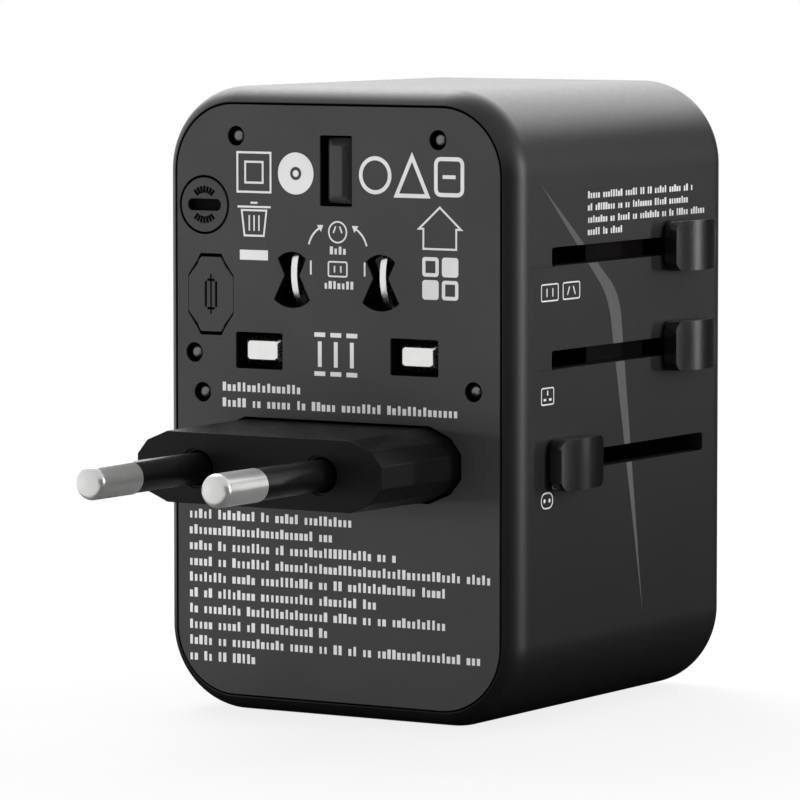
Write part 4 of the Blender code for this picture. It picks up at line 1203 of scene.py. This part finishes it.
def draw_side_labels(ink, rows):
    """A row block above the top slot and a small plug picture under the front end of each slot."""
    seed = sizes().print_seed
    us, uk, eu = (middle_of(node).z for node in KNOB_NODES)
    for number, length in enumerate((26.5, 25.2, 29.6, 9.4)):
        start = (side_u(17.2), us + 6.7 - number * 1.49)
        ink.row(rows, start, length, 0.86, 0.62, seed + 20 + number)
    drop, line = 4.25, 0.17
    for depth, tilt in ((8.1, 0.0), (13.3, 0.5)):
        center = (side_u(depth), us - drop)
        ink.frame(center, (2.1, 1.08), line, 0.35)
        for side in (-1, 1):
            foot = (center[0] + side * (0.7 + tilt / 2), center[1] - 0.5)
            head = (center[0] + side * (0.7 - tilt / 2), center[1] + 0.5)
            ink.stroke([foot, head], 0.22)
    center = (side_u(7.6), uk - drop)
    ink.frame(center, (1.55, 1.08), line, 0.35)
    ink.bar((center[0] - 0.13, center[1] + 0.12), (center[0] + 0.13, center[1] + 0.68))
    for side in (-1, 1):
        x = center[0] + side * 0.65
        ink.bar((x - 0.3, center[1] - 0.55), (x + 0.3, center[1] - 0.27))
    center = (side_u(7.5), eu - drop)
    ink.frame(center, (1.45, 1.0), line, 0.98)
    for side in (-1, 1):
        ink.solid(circle(0.25, (center[0] + side * 0.6, center[1]), 20))


def bent(start, knee, end, reach=3.0, steps=10):
    """Two straight runs joined by a soft bend at the knee, as points from start to end."""
    start, knee, end = Vector(start), Vector(knee), Vector(end)
    near = knee + (start - knee).normalized() * reach
    far = knee + (end - knee).normalized() * reach
    points = [start]
    for step in range(steps + 1):
        t = step / steps
        points.append(near * (1 - t) ** 2 + knee * 2 * t * (1 - t) + far * t * t)
    return points + [end]


def stripe_outline():
    """The stripe runs down from the front rim, bends, and tapers out near the bottom."""
    head, foot = (5.7, 65.9), (31.2, 11.9)
    left = bent(head, (22.4, 51.3), foot)
    right = bent(head, (25.2, 51.6), foot)
    outline = left + list(reversed(right))[1:-1]
    return [(side_u(depth), height) for depth, height in outline]


def stripe_mesh():
    """The printed stripe, cut where the slots cross it."""
    ink = Ink(RIGHT)
    ink.solid(stripe_outline())
    return shaped(joined(ink.forms), [slot_cutter(node) for node in KNOB_NODES])


class ADAPTER_OT_print(bpy.types.Operator):
    """Prints plain signs, block rows, plug pictures and the side stripe; rows come from Geometry Nodes"""

    bl_idname = "adapter.print"
    bl_label = "Printed marks"

    def execute(self, context):
        rows = row_tree()
        front = Ink(FRONT)
        for draw in (draw_top_signs, draw_bin, draw_house_and_tiles, draw_posts):
            draw(front)
        draw_twist_guide(front, rows)
        draw_rows(front, rows)
        piece("front_print", front.mesh(), finish_of("ink_white"), HOUSING)
        side = Ink(RIGHT)
        draw_side_labels(side, rows)
        piece("side_print", side.mesh(), finish_of("ink_white"), HOUSING)
        piece("side_stripe", stripe_mesh(), finish_of("ink_grey"), HOUSING)
        return {"FINISHED"}


# ---------------------------------------------------------------- sliders

KNOB_CROWN = 0.7
NECK_HALF = (3.1, 1.14)
NECK_IN = 0.6

# Blades and flat pins: how far their ends bow, and the shaft that holds a blade in its carriage.
PIN_BOW = 0.32
TIP_BOW = 0.083
TIP_CREST = 0.22
CARRIAGE = 3.0
FLANGE = 0.9
FLANGE_R = 2.6
SHAFT_R = 1.8

# The European plug: its block's length behind the face, and the radii along its pins.
BLOCK_IN = 5.5
BORE_R = 2.15
SLEEVE_R = 1.9
PIN_R = 2.0
CORE_R = 1.2


def knob_mesh(node):
    """A crowned cap with round corners, a soft top edge and a pocket for the slider's neck."""
    low, high = box_mm(node)
    middle, half_y = (low.y + high.y) / 2, (high.y - low.y) / 2
    lane, half_z = (low.z + high.z) / 2, (high.z - low.z) / 2
    steps = 40
    profile = [(low.x, high.y), (low.x, low.y)]
    for step in range(steps + 1):
        across = -1 + 2 * step / steps
        profile.append((high.x - KNOB_CROWN * across ** 2, middle + across * half_y))
    outline = rounded((half_y, half_z), mm(sizes().knob_corner), (middle, lane), 10)
    body = scratch(prism(profile, "z", lane - half_z - 1, lane + half_z + 1))
    tool = combine(body, prism(outline, "x", low.x - 1, high.x + 2), "INTERSECT")
    form = as_form(baked(body))
    discard(body)
    discard(tool)
    pocket = box((low.x - 1, middle - NECK_HALF[0], lane - NECK_HALF[1]),
                 (low.x + NECK_IN, middle + NECK_HALF[0], lane + NECK_HALF[1]))
    return shaped(form, bevel=mm(sizes().knob_edge), late_cuts=[pocket])


def rounded_pin(low, high, corner, bevel, tip, edge):
    """A bar along Y with a bevelled free end at its low Y and softened edges."""
    half = ((high.x - low.x) / 2, (high.z - low.z) / 2)
    center = ((high.x + low.x) / 2, (high.z + low.z) / 2)
    rings = []
    for shrink, bow, y in ((bevel, PIN_BOW, low.y), (0, 0, low.y + tip), (0, 0, high.y)):
        outline = rounded((half[0] - shrink, half[1] - shrink), corner, (0, 0), 5)
        reach = half[1] - shrink
        outline = [(u - math.copysign(bow * (v / reach) ** 2, u), v) for u, v in outline]
        rings.append([(center[0] + u, y, center[1] + v) for u, v in outline])
    return shaped(loft(rings), bevel=edge, angle=20)


def blade_mesh(node):
    """A flat blade with a bowed, wedged tip and a locating hole, on its round shaft with two flanges."""
    low, high = box_mm(node)
    pivot = pivot_of(node)
    steps = 18

    def tip_at(height):
        """The place of the bowed tip along Y, at this height."""
        return low.y + TIP_BOW * (height - pivot.z - TIP_CREST) ** 2

    def wedge_cutter(side):
        """The waste beside the tip on one face of the blade."""
        face = pivot.x + side * BLADE_HALF
        out, inner = face + side * 0.4, face - side * 0.5
        rings = []
        for step in range(steps + 1):
            height = high.z + 1 + (low.z - high.z - 2) * step / steps
            tip = tip_at(height)
            rings.append([(out, tip - 0.5, height), (inner, tip - 0.5, height),
                          (face, tip + 0.9, height), (out, tip + 0.9, height)])
        return loft(rings)

    front = pivot.y - FIT - FLANGE
    back = pivot.y + CARRIAGE + FIT
    outline = [(front + FLANGE / 2, low.z), (front + FLANGE / 2, high.z)]
    for step in range(steps + 1):
        height = high.z + (low.z - high.z) * step / steps
        outline.append((tip_at(height), height))
    flat = prism(outline, "x", pivot.x - BLADE_HALF, pivot.x + BLADE_HALF)
    hole_in, hole_radius = 4.6, 1.5
    hole_outline = circle(hole_radius, (low.y + hole_in, (low.z + high.z) / 2), 32)
    hole = prism(hole_outline, "x", pivot.x - 2, pivot.x + 2)
    disc = circle(FLANGE_R, (pivot.x, pivot.z), 48)
    shaft = circle(SHAFT_R, (pivot.x, pivot.z), 48)
    welds = [prism(disc, "y", front, front + FLANGE),
             prism(shaft, "y", front + FLANGE / 2 + 0.2, back + FLANGE / 2),
             prism(disc, "y", back, back + FLANGE)]
    return shaped(flat, [hole, wedge_cutter(-1), wedge_cutter(1)], welds, bevel=0.12)


class ADAPTER_OT_american_set(bpy.types.Operator):
    """Builds the two turning blades and their knob, and finishes their carriage"""

    bl_idname = "adapter.american_set"
    bl_label = "American plug set"

    def execute(self, context):
        nickel = finish_of("nickel_plate")
        for side in ("left", "right"):
            node = f"us_blade_{side}"
            piece(f"us_blade_{side}_metal", blade_mesh(node), nickel, f"us_{side}_blade", (node,))
        piece("us_knob_cap", knob_mesh("us_knob"), finish_of("knob_satin"), "us_slider",
              ("us_knob",))
        dress("us_carriage", finish_of("inner_black"))
        return {"FINISHED"}


class ADAPTER_OT_british_set(bpy.types.Operator):
    """Builds the two line pins, the earth pin and their knob, and finishes their carriage"""

    bl_idname = "adapter.british_set"
    bl_label = "British plug set"

    def execute(self, context):
        for side in ("live", "neutral"):
            node = f"uk_pin_{side}"
            mesh = rounded_pin(*box_mm(node), corner=0.35, bevel=0.8, tip=1.12, edge=0.12)
            piece(f"{node}_metal", mesh, finish_of("nickel_plate"), "uk_slider", (node,))
        mesh = rounded_pin(*box_mm("uk_earth_pin"), corner=0.3, bevel=0.95, tip=1.33, edge=0.1)
        piece("uk_earth_bar", mesh, finish_of("plate_matte"), "uk_slider", ("uk_earth_pin",))
        piece("uk_knob_cap", knob_mesh("uk_knob"), finish_of("knob_satin"), "uk_slider",
              ("uk_knob",))
        dress("uk_carriage", finish_of("inner_black"))
        return {"FINISHED"}


def eu_block_mesh():
    """The plug's block with softened edges, a shallow recess round each bore, and its arm to the knob."""
    low, high = box_mm("eu_plug_block")
    pins = [middle_of(f"eu_pin_{side}") for side in ("left", "right")]
    rise = pins[0].z
    lane = middle_of("eu_knob")
    back = FACE_Y + BLOCK_IN
    rings = []
    for grow, y in ((0.0, low.y), (BLOCK_DRAFT, FACE_Y), (BLOCK_DRAFT, back)):
        rings.append([(u, y, v) for u, v in block_outline(grow)])
    arm_out = high.x - 2.9
    start = PLATE_HIGH.y + 2 * FIT
    tab = box((BLOCK_SHOULDER, start, rise - 1.7), (arm_out - 0.7, back - 0.5, rise + 1.7))
    arm = box((arm_out - 1.1, start + 0.6, lane.z - 2.2), (arm_out, high.y, lane.z + 2.2))
    neck = box((arm_out - 0.2, lane.y - 2.8, lane.z - 0.84), (high.x, lane.y + 2.8, lane.z + 0.84))
    bores, recesses = [], []
    for pin in pins:
        spot = (pin.x, pin.z)
        bores.append(prism(circle(BORE_R, spot, 56), "y", low.y - 1, back + 1))
        recesses.append(prism(circle(BORE_R + 0.28, spot, 56), "y", low.y - 1, low.y + 0.3))
    return shaped(loft(rings), bores, [tab, arm, neck], bevel=0.22, late_cuts=recesses, angle=24)


def eu_pin_mesh(node, sleeve):
    """A pin with a rounded nose, which steps down to its core behind the sleeve's front."""
    low, high = box_mm(node)
    spot = middle_of(node)
    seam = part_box(sleeve)[0][1] / MM - 0.15
    nose, flat, edge = 1.15, 0.12, 0.08
    profile = [(flat, low.y), (0.45, low.y + 0.02)]
    for step in range(1, 11):
        angle = math.radians(9 * step)
        radius = PIN_R - nose + nose * math.sin(angle)
        profile.append((radius, low.y + flat + (nose - flat) * (1 - math.cos(angle))))
    profile += [(PIN_R, seam - edge), (PIN_R - edge, seam), (CORE_R, seam), (CORE_R, high.y)]
    return shaped(turned(profile, (spot.x, spot.z), 56), angle=40)


def eu_sleeve_mesh(node):
    """The insulating sleeve round a pin's shank, with softened ends."""
    low, high = box_mm(node)
    spot = middle_of(node)
    edge = 0.12
    inner = CORE_R + 0.2
    profile = [(inner, low.y), (SLEEVE_R - edge, low.y), (SLEEVE_R, low.y + edge)]
    profile += [(SLEEVE_R, high.y - edge), (SLEEVE_R - edge, high.y), (inner, high.y)]
    rings = [[(u, y, v) for u, v in circle(radius, (spot.x, spot.z), 56)] for radius, y in profile]
    return shaped(loft(rings, closed=True), angle=30)


class ADAPTER_OT_european_set(bpy.types.Operator):
    """Builds the plug block, its two sleeved pins and its knob, and finishes the pins' carriage"""

    bl_idname = "adapter.european_set"
    bl_label = "European plug set"

    def execute(self, context):
        piece("eu_block_body", eu_block_mesh(), finish_of("block_black"), "eu_slider",
              ("eu_plug_block",))
        for side in ("left", "right"):
            pin, sleeve = f"eu_pin_{side}", f"eu_sleeve_{side}"
            piece(f"{pin}_metal", eu_pin_mesh(pin, sleeve), finish_of("nickel_satin"), "eu_pins",
                  (pin,))
            piece(f"{sleeve}_cover", eu_sleeve_mesh(sleeve), finish_of("sleeve_black"), "eu_pins",
                  (sleeve,))
        piece("eu_knob_cap", knob_mesh("eu_knob"), finish_of("knob_satin"), "eu_slider",
              ("eu_knob",))
        dress("eu_pin_carriage", finish_of("inner_black"))
        return {"FINISHED"}


# ---------------------------------------------------------------- socket side

SOCKET_PLATE = 2.4
HOLE_CORNER = 0.4

# Half sizes of the holes; ROUND_HOLE and BLADE_HOLE start with the distance from the middle.
PIN_HOLE = (3.6, 2.4)
PIN_HOLE_X = 11.11
ROUND_HOLE = (9.3, 2.6)
BLADE_HOLE = (6.35, 1.2, 3.6)
EARTH_HOLE = (2.4, 4.4)

GROOVE_INSET = 1.6
GROOVE_WIDTH = 0.22
GROOVE_DEPTH = 0.18


def plate_line_cutter():
    """The fine line that runs round the socket plate, a little way in from its edge."""
    low, high = SOCKET_LOW, SOCKET_HIGH
    middle = (0, (high.z + low.z) / 2)
    outer, inner = GROOVE_INSET, GROOVE_INSET + GROOVE_WIDTH
    top, floor = high.y + 1, high.y - GROOVE_DEPTH
    rings = []
    for inset, y in ((outer, top), (outer, floor), (inner, floor), (inner, top)):
        half = ((high.x - low.x) / 2 - inset, (high.z - low.z) / 2 - inset)
        outline = rounded(half, mm(sizes().plate_corner) - inset, middle, 16)
        rings.append([(u, y, v) for u, v in outline])
    return loft(rings, closed=True)


def socket_plate_mesh():
    """The socket plate: line holes for three plug patterns, an earth hole and the boss behind them."""
    low, high = SOCKET_LOW, SOCKET_HIGH
    line = middle_of("uk_pin_live").z
    carrier_low, carrier_high = box_mm("contact_carrier")
    back = high.y - SOCKET_PLATE
    boss = box((carrier_low.x, low.y, carrier_low.z), (carrier_high.x, back + 0.2, carrier_high.z))
    outlines = []
    for side in (-1, 1):
        outlines.append(rounded(PIN_HOLE, HOLE_CORNER, (side * PIN_HOLE_X, line), 5))
        outlines.append(circle(ROUND_HOLE[1], (side * ROUND_HOLE[0], line), 48))
        outlines.append(rounded(BLADE_HOLE[1:], HOLE_CORNER, (side * BLADE_HOLE[0], line), 5))
    outlines.append(rounded(EARTH_HOLE, HOLE_CORNER, (0, middle_of("uk_earth_pin").z), 5))
    cuts = [prism(outline, "y", low.y - 1, high.y + 1) for outline in outlines]
    return shaped(prism(plate_outline(), "y", back, high.y), cuts, [boss], bevel=mm(sizes().edge_round),
                  late_cuts=[plate_line_cutter()])


def spring_mesh():
    """The shutter's coil spring of fine wire, wound a little closer at its ends and in its middle."""
    low, high = box_mm("shutter_spring")
    wire, sides = 0.17, 8
    radius = (high.x - low.x) / 2 - wire
    center = ((high.x + low.x) / 2, (high.y + low.y) / 2)
    turns, per_turn = 7, 28
    count = turns * per_turn
    rise = high.z - low.z - 2 * wire
    rings = []
    for step in range(count + 1):
        share = step / count
        climb = share - 0.03 * math.sin(4 * math.pi * share)
        angle = 2 * math.pi * turns * share
        out = Vector((math.cos(angle), math.sin(angle), 0))
        spot = Vector((*center, low.z + wire + rise * climb)) + out * radius
        rings.append([spot + out * u + Vector((0, 0, v)) for u, v in circle(wire, count=sides)])
    return shaped(loft(rings), angle=60)


class ADAPTER_OT_socket(bpy.types.Operator):
    """Builds the socket plate and the shutter spring, and finishes the shutter and the contacts"""

    bl_idname = "adapter.socket"
    bl_label = "Socket side"

    def execute(self, context):
        piece("back_plate", socket_plate_mesh(), finish_of("plate_matte"), HOUSING,
              ("socket_face_plate",))
        spring = piece("shutter_coil", spring_mesh(), finish_of("spring_steel"), HOUSING,
                       ("shutter_spring",))
        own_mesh(spring)
        for node in ("socket_shutter", "contact_carrier"):
            dress(node, finish_of("inner_black"))
        for node in ("live_contact", "neutral_contact", "earth_contact"):
            dress(node, finish_of("brass"))
        return {"FINISHED"}


# ---------------------------------------------------------------- charger

def port_shell_mesh(name):
    """A port's folded steel shell, open at the bottom, with a flared mouth."""
    low, high = box_mm(f"{name}_shell")
    wall, flare = 0.35, 0.14
    outer, inner = port_outline(name, 0), port_outline(name, -wall)
    mouth = port_outline(name, flare - wall)
    rings = []
    for outline, z in ((outer, high.z), (outer, low.z), (mouth, low.z), (inner, low.z + wall),
                       (inner, high.z - wall)):
        rings.append([(u, v, z) for u, v in outline])
    return shaped(loft(rings), bevel=0.04)


def tongue_box(name):
    """The low and high corners of a port's tongue, the insulator that carries its contacts."""
    low, high = box_mm(f"{name}_insert")
    middle = middle_of(f"{name}_shell")
    if "_c_" in name:
        half, shift, base = (0.35, 3.3), 0.0, 4.4
    else:
        half, shift, base = (0.92, 5.5), 0.9, 3.4
    return (Vector((middle.x + shift - half[0], middle.y - half[1], low.z)),
            Vector((middle.x + shift + half[0], middle.y + half[1], high.z - base)))


def port_insert_mesh(name):
    """The insulator: a base that fills the shell's far end, and the tongue."""
    low, high = tongue_box(name)
    base = prism(port_outline(name, -0.6), "z", high.z, box_mm(f"{name}_insert")[1].z)
    tongue = box(low, (high.x, high.y, high.z + 0.2))
    return shaped(base, welds=[tongue], bevel=0.08)


def port_contacts(name, tree):
    """The contact strips on a port's tongue: both faces of a small port, one face of a large one."""
    low, high = tongue_box(name)
    middle = (low + high) / 2
    length = high.z - low.z
    rise = middle.z + 0.2
    forms = []
    if "_c_" in name:
        for face in (low.x - 0.005, high.x + 0.005):
            start = (face, middle.y - 2.75, rise)
            forms.append(strip(tree, start, 12, (0.0, 0.5, 0.0), (0.05, 0.26, length - 0.8)))
    else:
        start = (low.x - 0.02, middle.y - 3.5, rise)
        forms.append(strip(tree, start, 4, (0.0, 2.33, 0.0), (0.12, 1.0, length - 1.4)))
    return settled(as_mesh(joined(forms), "contacts"))


class ADAPTER_OT_ports(bpy.types.Operator):
    """Builds the five charging ports; their contact strips come from Geometry Nodes"""

    bl_idname = "adapter.ports"
    bl_label = "Charging ports"

    def execute(self, context):
        tree = strip_tree()
        for name in PORT_NAMES:
            shell, insert = f"{name}_shell", f"{name}_insert"
            piece(f"{name}_can", port_shell_mesh(name), finish_of("port_steel"), HOUSING,
                  (shell,))
            piece(f"{name}_tongue", port_insert_mesh(name), finish_of("port_insert"), HOUSING,
                  (insert,))
            piece(f"{name}_contacts", port_contacts(name, tree), finish_of("contact_gold"), HOUSING)
        return {"FINISHED"}


class ADAPTER_OT_inner_parts(bpy.types.Operator):
    """Finishes the inner frame, the two boards and the parts on them"""

    bl_idname = "adapter.inner_parts"
    bl_label = "Inner parts"

    def execute(self, context):
        dress("chassis", finish_of("inner_black"))
        for node in ("usb_board", "power_board"):
            dress(node, finish_of("circuit_board"))
        for node in ("transformer", "output_inductor"):
            dress(node, finish_of("ferrite"))
        for node in ("capacitor_1", "capacitor_2"):
            dress(node, finish_of("capacitor_sleeve"))
        return {"FINISHED"}


# ---------------------------------------------------------------- stage

CAMERA_PLACE = (0.36544, -0.60776, 0.09595)
CAMERA_TURN = (math.radians(90 - 4.729), math.radians(0.006), math.radians(31.514))
CAMERA_LENS = 255.3
AIM_HEIGHT = 0.0385
FILL_LIGHT = 0.3
FLOOR_COLOR = (0.93, 0.93, 0.93)
FLOOR_GLOW = 0.82
FLOOR_Z = -0.0001
CARD_COLOR = (0.004, 0.004, 0.004)
CARD_LIFT = 0.0002

# How far the card on the floor reaches from the part, at every 45 degrees round it.
CARD_REACHES = (0.09, 0.28, 0.45, 0.66, 0.66, 0.3, 0.12, 0.09)

# Each lamp: name, bearing, rise, distance, size, power, and whether reflections show it.
LAMPS = (
    ("key", -52, -4, 0.42, (0.3, 0.12), 2.5, False),
    ("rim_light", -124, 52, 0.8, (0.45, 0.35), 3.2, True),
    ("back_top", 192, 35, 0.9, (1.6, 0.62), 8.0, True),
    ("edge_strip", 104, 4, 0.5, (0.07, 0.3), 1.5, True),
    ("knob_strip", 144, 6, 0.5, (0.028, 0.3), 0.17, True),
)

# Each standing card: name, bearing, distance, width and height.
CARDS = (
    ("front_card", 58, 0.3, 0.38, 0.16),
    ("back_card", 150, 0.6, 0.78, 0.36),
)


def away_from(bearing, rise=0.0):
    """A direction that turns from -Y towards +X and then lifts, both in degrees."""
    turn, lift = math.radians(bearing), math.radians(rise)
    return Vector((math.sin(turn) * math.cos(lift), -math.cos(turn) * math.cos(lift), math.sin(lift)))


def soft_box(name, bearing, rise, distance, size, power, shine):
    """A rectangular lamp that looks at the part's middle."""
    lamp = bpy.data.lights.new(name, "AREA")
    lamp.shape = "RECTANGLE"
    lamp.size, lamp.size_y = size
    lamp.energy = power
    made = linked(name, lamp)
    away = away_from(bearing, rise)
    made.location = Vector((0, 0, AIM_HEIGHT)) + away * distance
    made.rotation_euler = away.to_track_quat("Z", "Y").to_euler()
    made.visible_camera = False
    made.visible_glossy = shine


def black_card(name, corners):
    """A black card beside the set, seen only in reflections."""
    mesh = bpy.data.meshes.new(name)
    mesh.from_pydata([tuple(corner) for corner in corners], [], [tuple(range(len(corners)))])
    mesh.materials.append(Finish(name, CARD_COLOR, 0.9, specular=0.0).material)
    made = linked(name, mesh)
    made.visible_camera = False
    made.visible_diffuse = False
    made.visible_shadow = False
    made.visible_transmission = False


def upright_card(name, bearing, distance, width, height):
    """A card that stands on the floor and faces the part."""
    foot = away_from(bearing) * distance
    side = away_from(bearing + 90) * width / 2
    up = Vector((0, 0, height))
    black_card(name, (foot - side, foot + side, foot + side + up, foot - side + up))


def floor_card():
    """A card that lies round the part, wider behind it than in front."""
    lift = Vector((0, 0, CARD_LIFT))
    corners = [away_from(45 * turn) * reach + lift for turn, reach in enumerate(CARD_REACHES)]
    black_card("floor_card", corners)


def seen_rays(tree):
    """A socket that is 1 for camera, glossy and transmission rays."""
    path = tree.nodes.new("ShaderNodeLightPath")
    total = path.outputs["Is Camera Ray"]
    for ray in ("Is Glossy Ray", "Is Transmission Ray"):
        more = tree.nodes.new("ShaderNodeMath")
        more.operation = "MAXIMUM"
        tree.links.new(total, more.inputs[0])
        tree.links.new(path.outputs[ray], more.inputs[1])
        total = more.outputs["Value"]
    return total


def make_world():
    """White to the camera and in reflections; a softer light for everything else."""
    world = bpy.data.worlds.new("studio")
    bpy.context.scene.world = world
    world.use_nodes = True
    tree = world.node_tree
    tree.nodes.clear()
    mix = tree.nodes.new("ShaderNodeMixShader")
    for socket, strength in ((1, FILL_LIGHT), (2, 1.0)):
        light = tree.nodes.new("ShaderNodeBackground")
        light.inputs["Color"].default_value = (1, 1, 1, 1)
        light.inputs["Strength"].default_value = strength
        tree.links.new(light.outputs["Background"], mix.inputs[socket])
    end = tree.nodes.new("ShaderNodeOutputWorld")
    tree.links.new(seen_rays(tree), mix.inputs["Fac"])
    tree.links.new(mix.outputs["Shader"], end.inputs["Surface"])


def make_floor():
    """A pale floor that keeps a soft shadow; its own glow grows with the distance from the part."""
    finish = Finish("floor", FLOOR_COLOR, 0.9, specular=0.0)
    finish.vary_roughness(finish.noise(40), 0.85, 0.95)
    tree = finish.tree
    distance = tree.nodes.new("ShaderNodeVectorMath")
    distance.operation = "LENGTH"
    finish.link(finish.place, distance.inputs[0])
    share = tree.nodes.new("ShaderNodeMath")
    share.operation = "MULTIPLY"
    finish.link(seen_rays(tree), share.inputs[0])
    finish.link(finish.remap(distance.outputs["Value"], FLOOR_GLOW, 1.0, 0.12, 0.5), share.inputs[1])
    glow = tree.nodes.new("ShaderNodeEmission")
    glow.inputs["Strength"].default_value = 1.0
    mix = tree.nodes.new("ShaderNodeMixShader")
    finish.link(share.outputs["Value"], mix.inputs["Fac"])
    finish.link(finish.shader.outputs["BSDF"], mix.inputs[1])
    finish.link(glow.outputs["Emission"], mix.inputs[2])
    finish.link(mix.outputs["Shader"], tree.nodes["Material Output"].inputs["Surface"])
    reach = 4.0
    mesh = bpy.data.meshes.new("floor")
    corners = [(x, y, FLOOR_Z) for x, y in square((-reach, -reach), (reach, reach))]
    mesh.from_pydata(corners, [], [(0, 1, 2, 3)])
    mesh.materials.append(finish.material)
    made = linked("floor", mesh)


def make_camera():
    """A long lens that looks at the plug face and the slider side."""
    data = bpy.data.cameras.new("camera")
    data.lens = CAMERA_LENS
    data.sensor_width = 36
    data.clip_start, data.clip_end = 0.01, 50
    camera = linked("camera", data)
    camera.location = CAMERA_PLACE
    camera.rotation_euler = CAMERA_TURN
    bpy.context.scene.camera = camera


class ADAPTER_OT_stage(bpy.types.Operator):
    """Sets the floor, the lamps, the black cards, the white surroundings and the camera"""

    bl_idname = "adapter.stage"
    bl_label = "Stage"

    def execute(self, context):
        make_floor()
        make_world()
        for lamp in LAMPS:
            soft_box(*lamp)
        for card in CARDS:
            upright_card(*card)
        floor_card()
        make_camera()
        context.scene.view_settings.view_transform = "Standard"
        return {"FINISHED"}


# ---------------------------------------------------------------- panel and registration

OPERATORS = (
    ADAPTER_OT_stage,
    ADAPTER_OT_housing,
    ADAPTER_OT_plug_plate,
    ADAPTER_OT_screws,
    ADAPTER_OT_fuse_doors,
    ADAPTER_OT_print,
    ADAPTER_OT_american_set,
    ADAPTER_OT_british_set,
    ADAPTER_OT_european_set,
    ADAPTER_OT_socket,
    ADAPTER_OT_ports,
    ADAPTER_OT_inner_parts,
)


class ADAPTER_PT_panel(bpy.types.Panel):
    """Lists the adapter's settings and its pieces"""

    bl_idname = "ADAPTER_PT_panel"
    bl_label = "Travel adapter"
    bl_space_type = "VIEW_3D"
    bl_region_type = "UI"
    bl_category = "Adapter"

    def draw(self, context):
        for settings in (context.scene.adapter_sizes, context.scene.adapter_finishes):
            column = self.layout.column()
            for name in settings.bl_rna.properties.keys():
                if name not in ("rna_type", "name"):
                    column.prop(settings, name)
        for operator in OPERATORS:
            self.layout.operator(operator.bl_idname)


CLASSES = (AdapterSizes, AdapterFinishes, *OPERATORS, ADAPTER_PT_panel)


def register():
    for item in CLASSES:
        bpy.utils.register_class(item)
    bpy.types.Scene.adapter_sizes = PointerProperty(type=AdapterSizes)
    bpy.types.Scene.adapter_finishes = PointerProperty(type=AdapterFinishes)


def unregister():
    del bpy.types.Scene.adapter_finishes
    del bpy.types.Scene.adapter_sizes
    for item in reversed(CLASSES):
        bpy.utils.unregister_class(item)


def main():
    register()
    make_finishes()
    for operator in OPERATORS:
        group, name = operator.bl_idname.split(".")
        getattr(getattr(bpy.ops, group), name)()


if __name__ == "__main__":
    main()
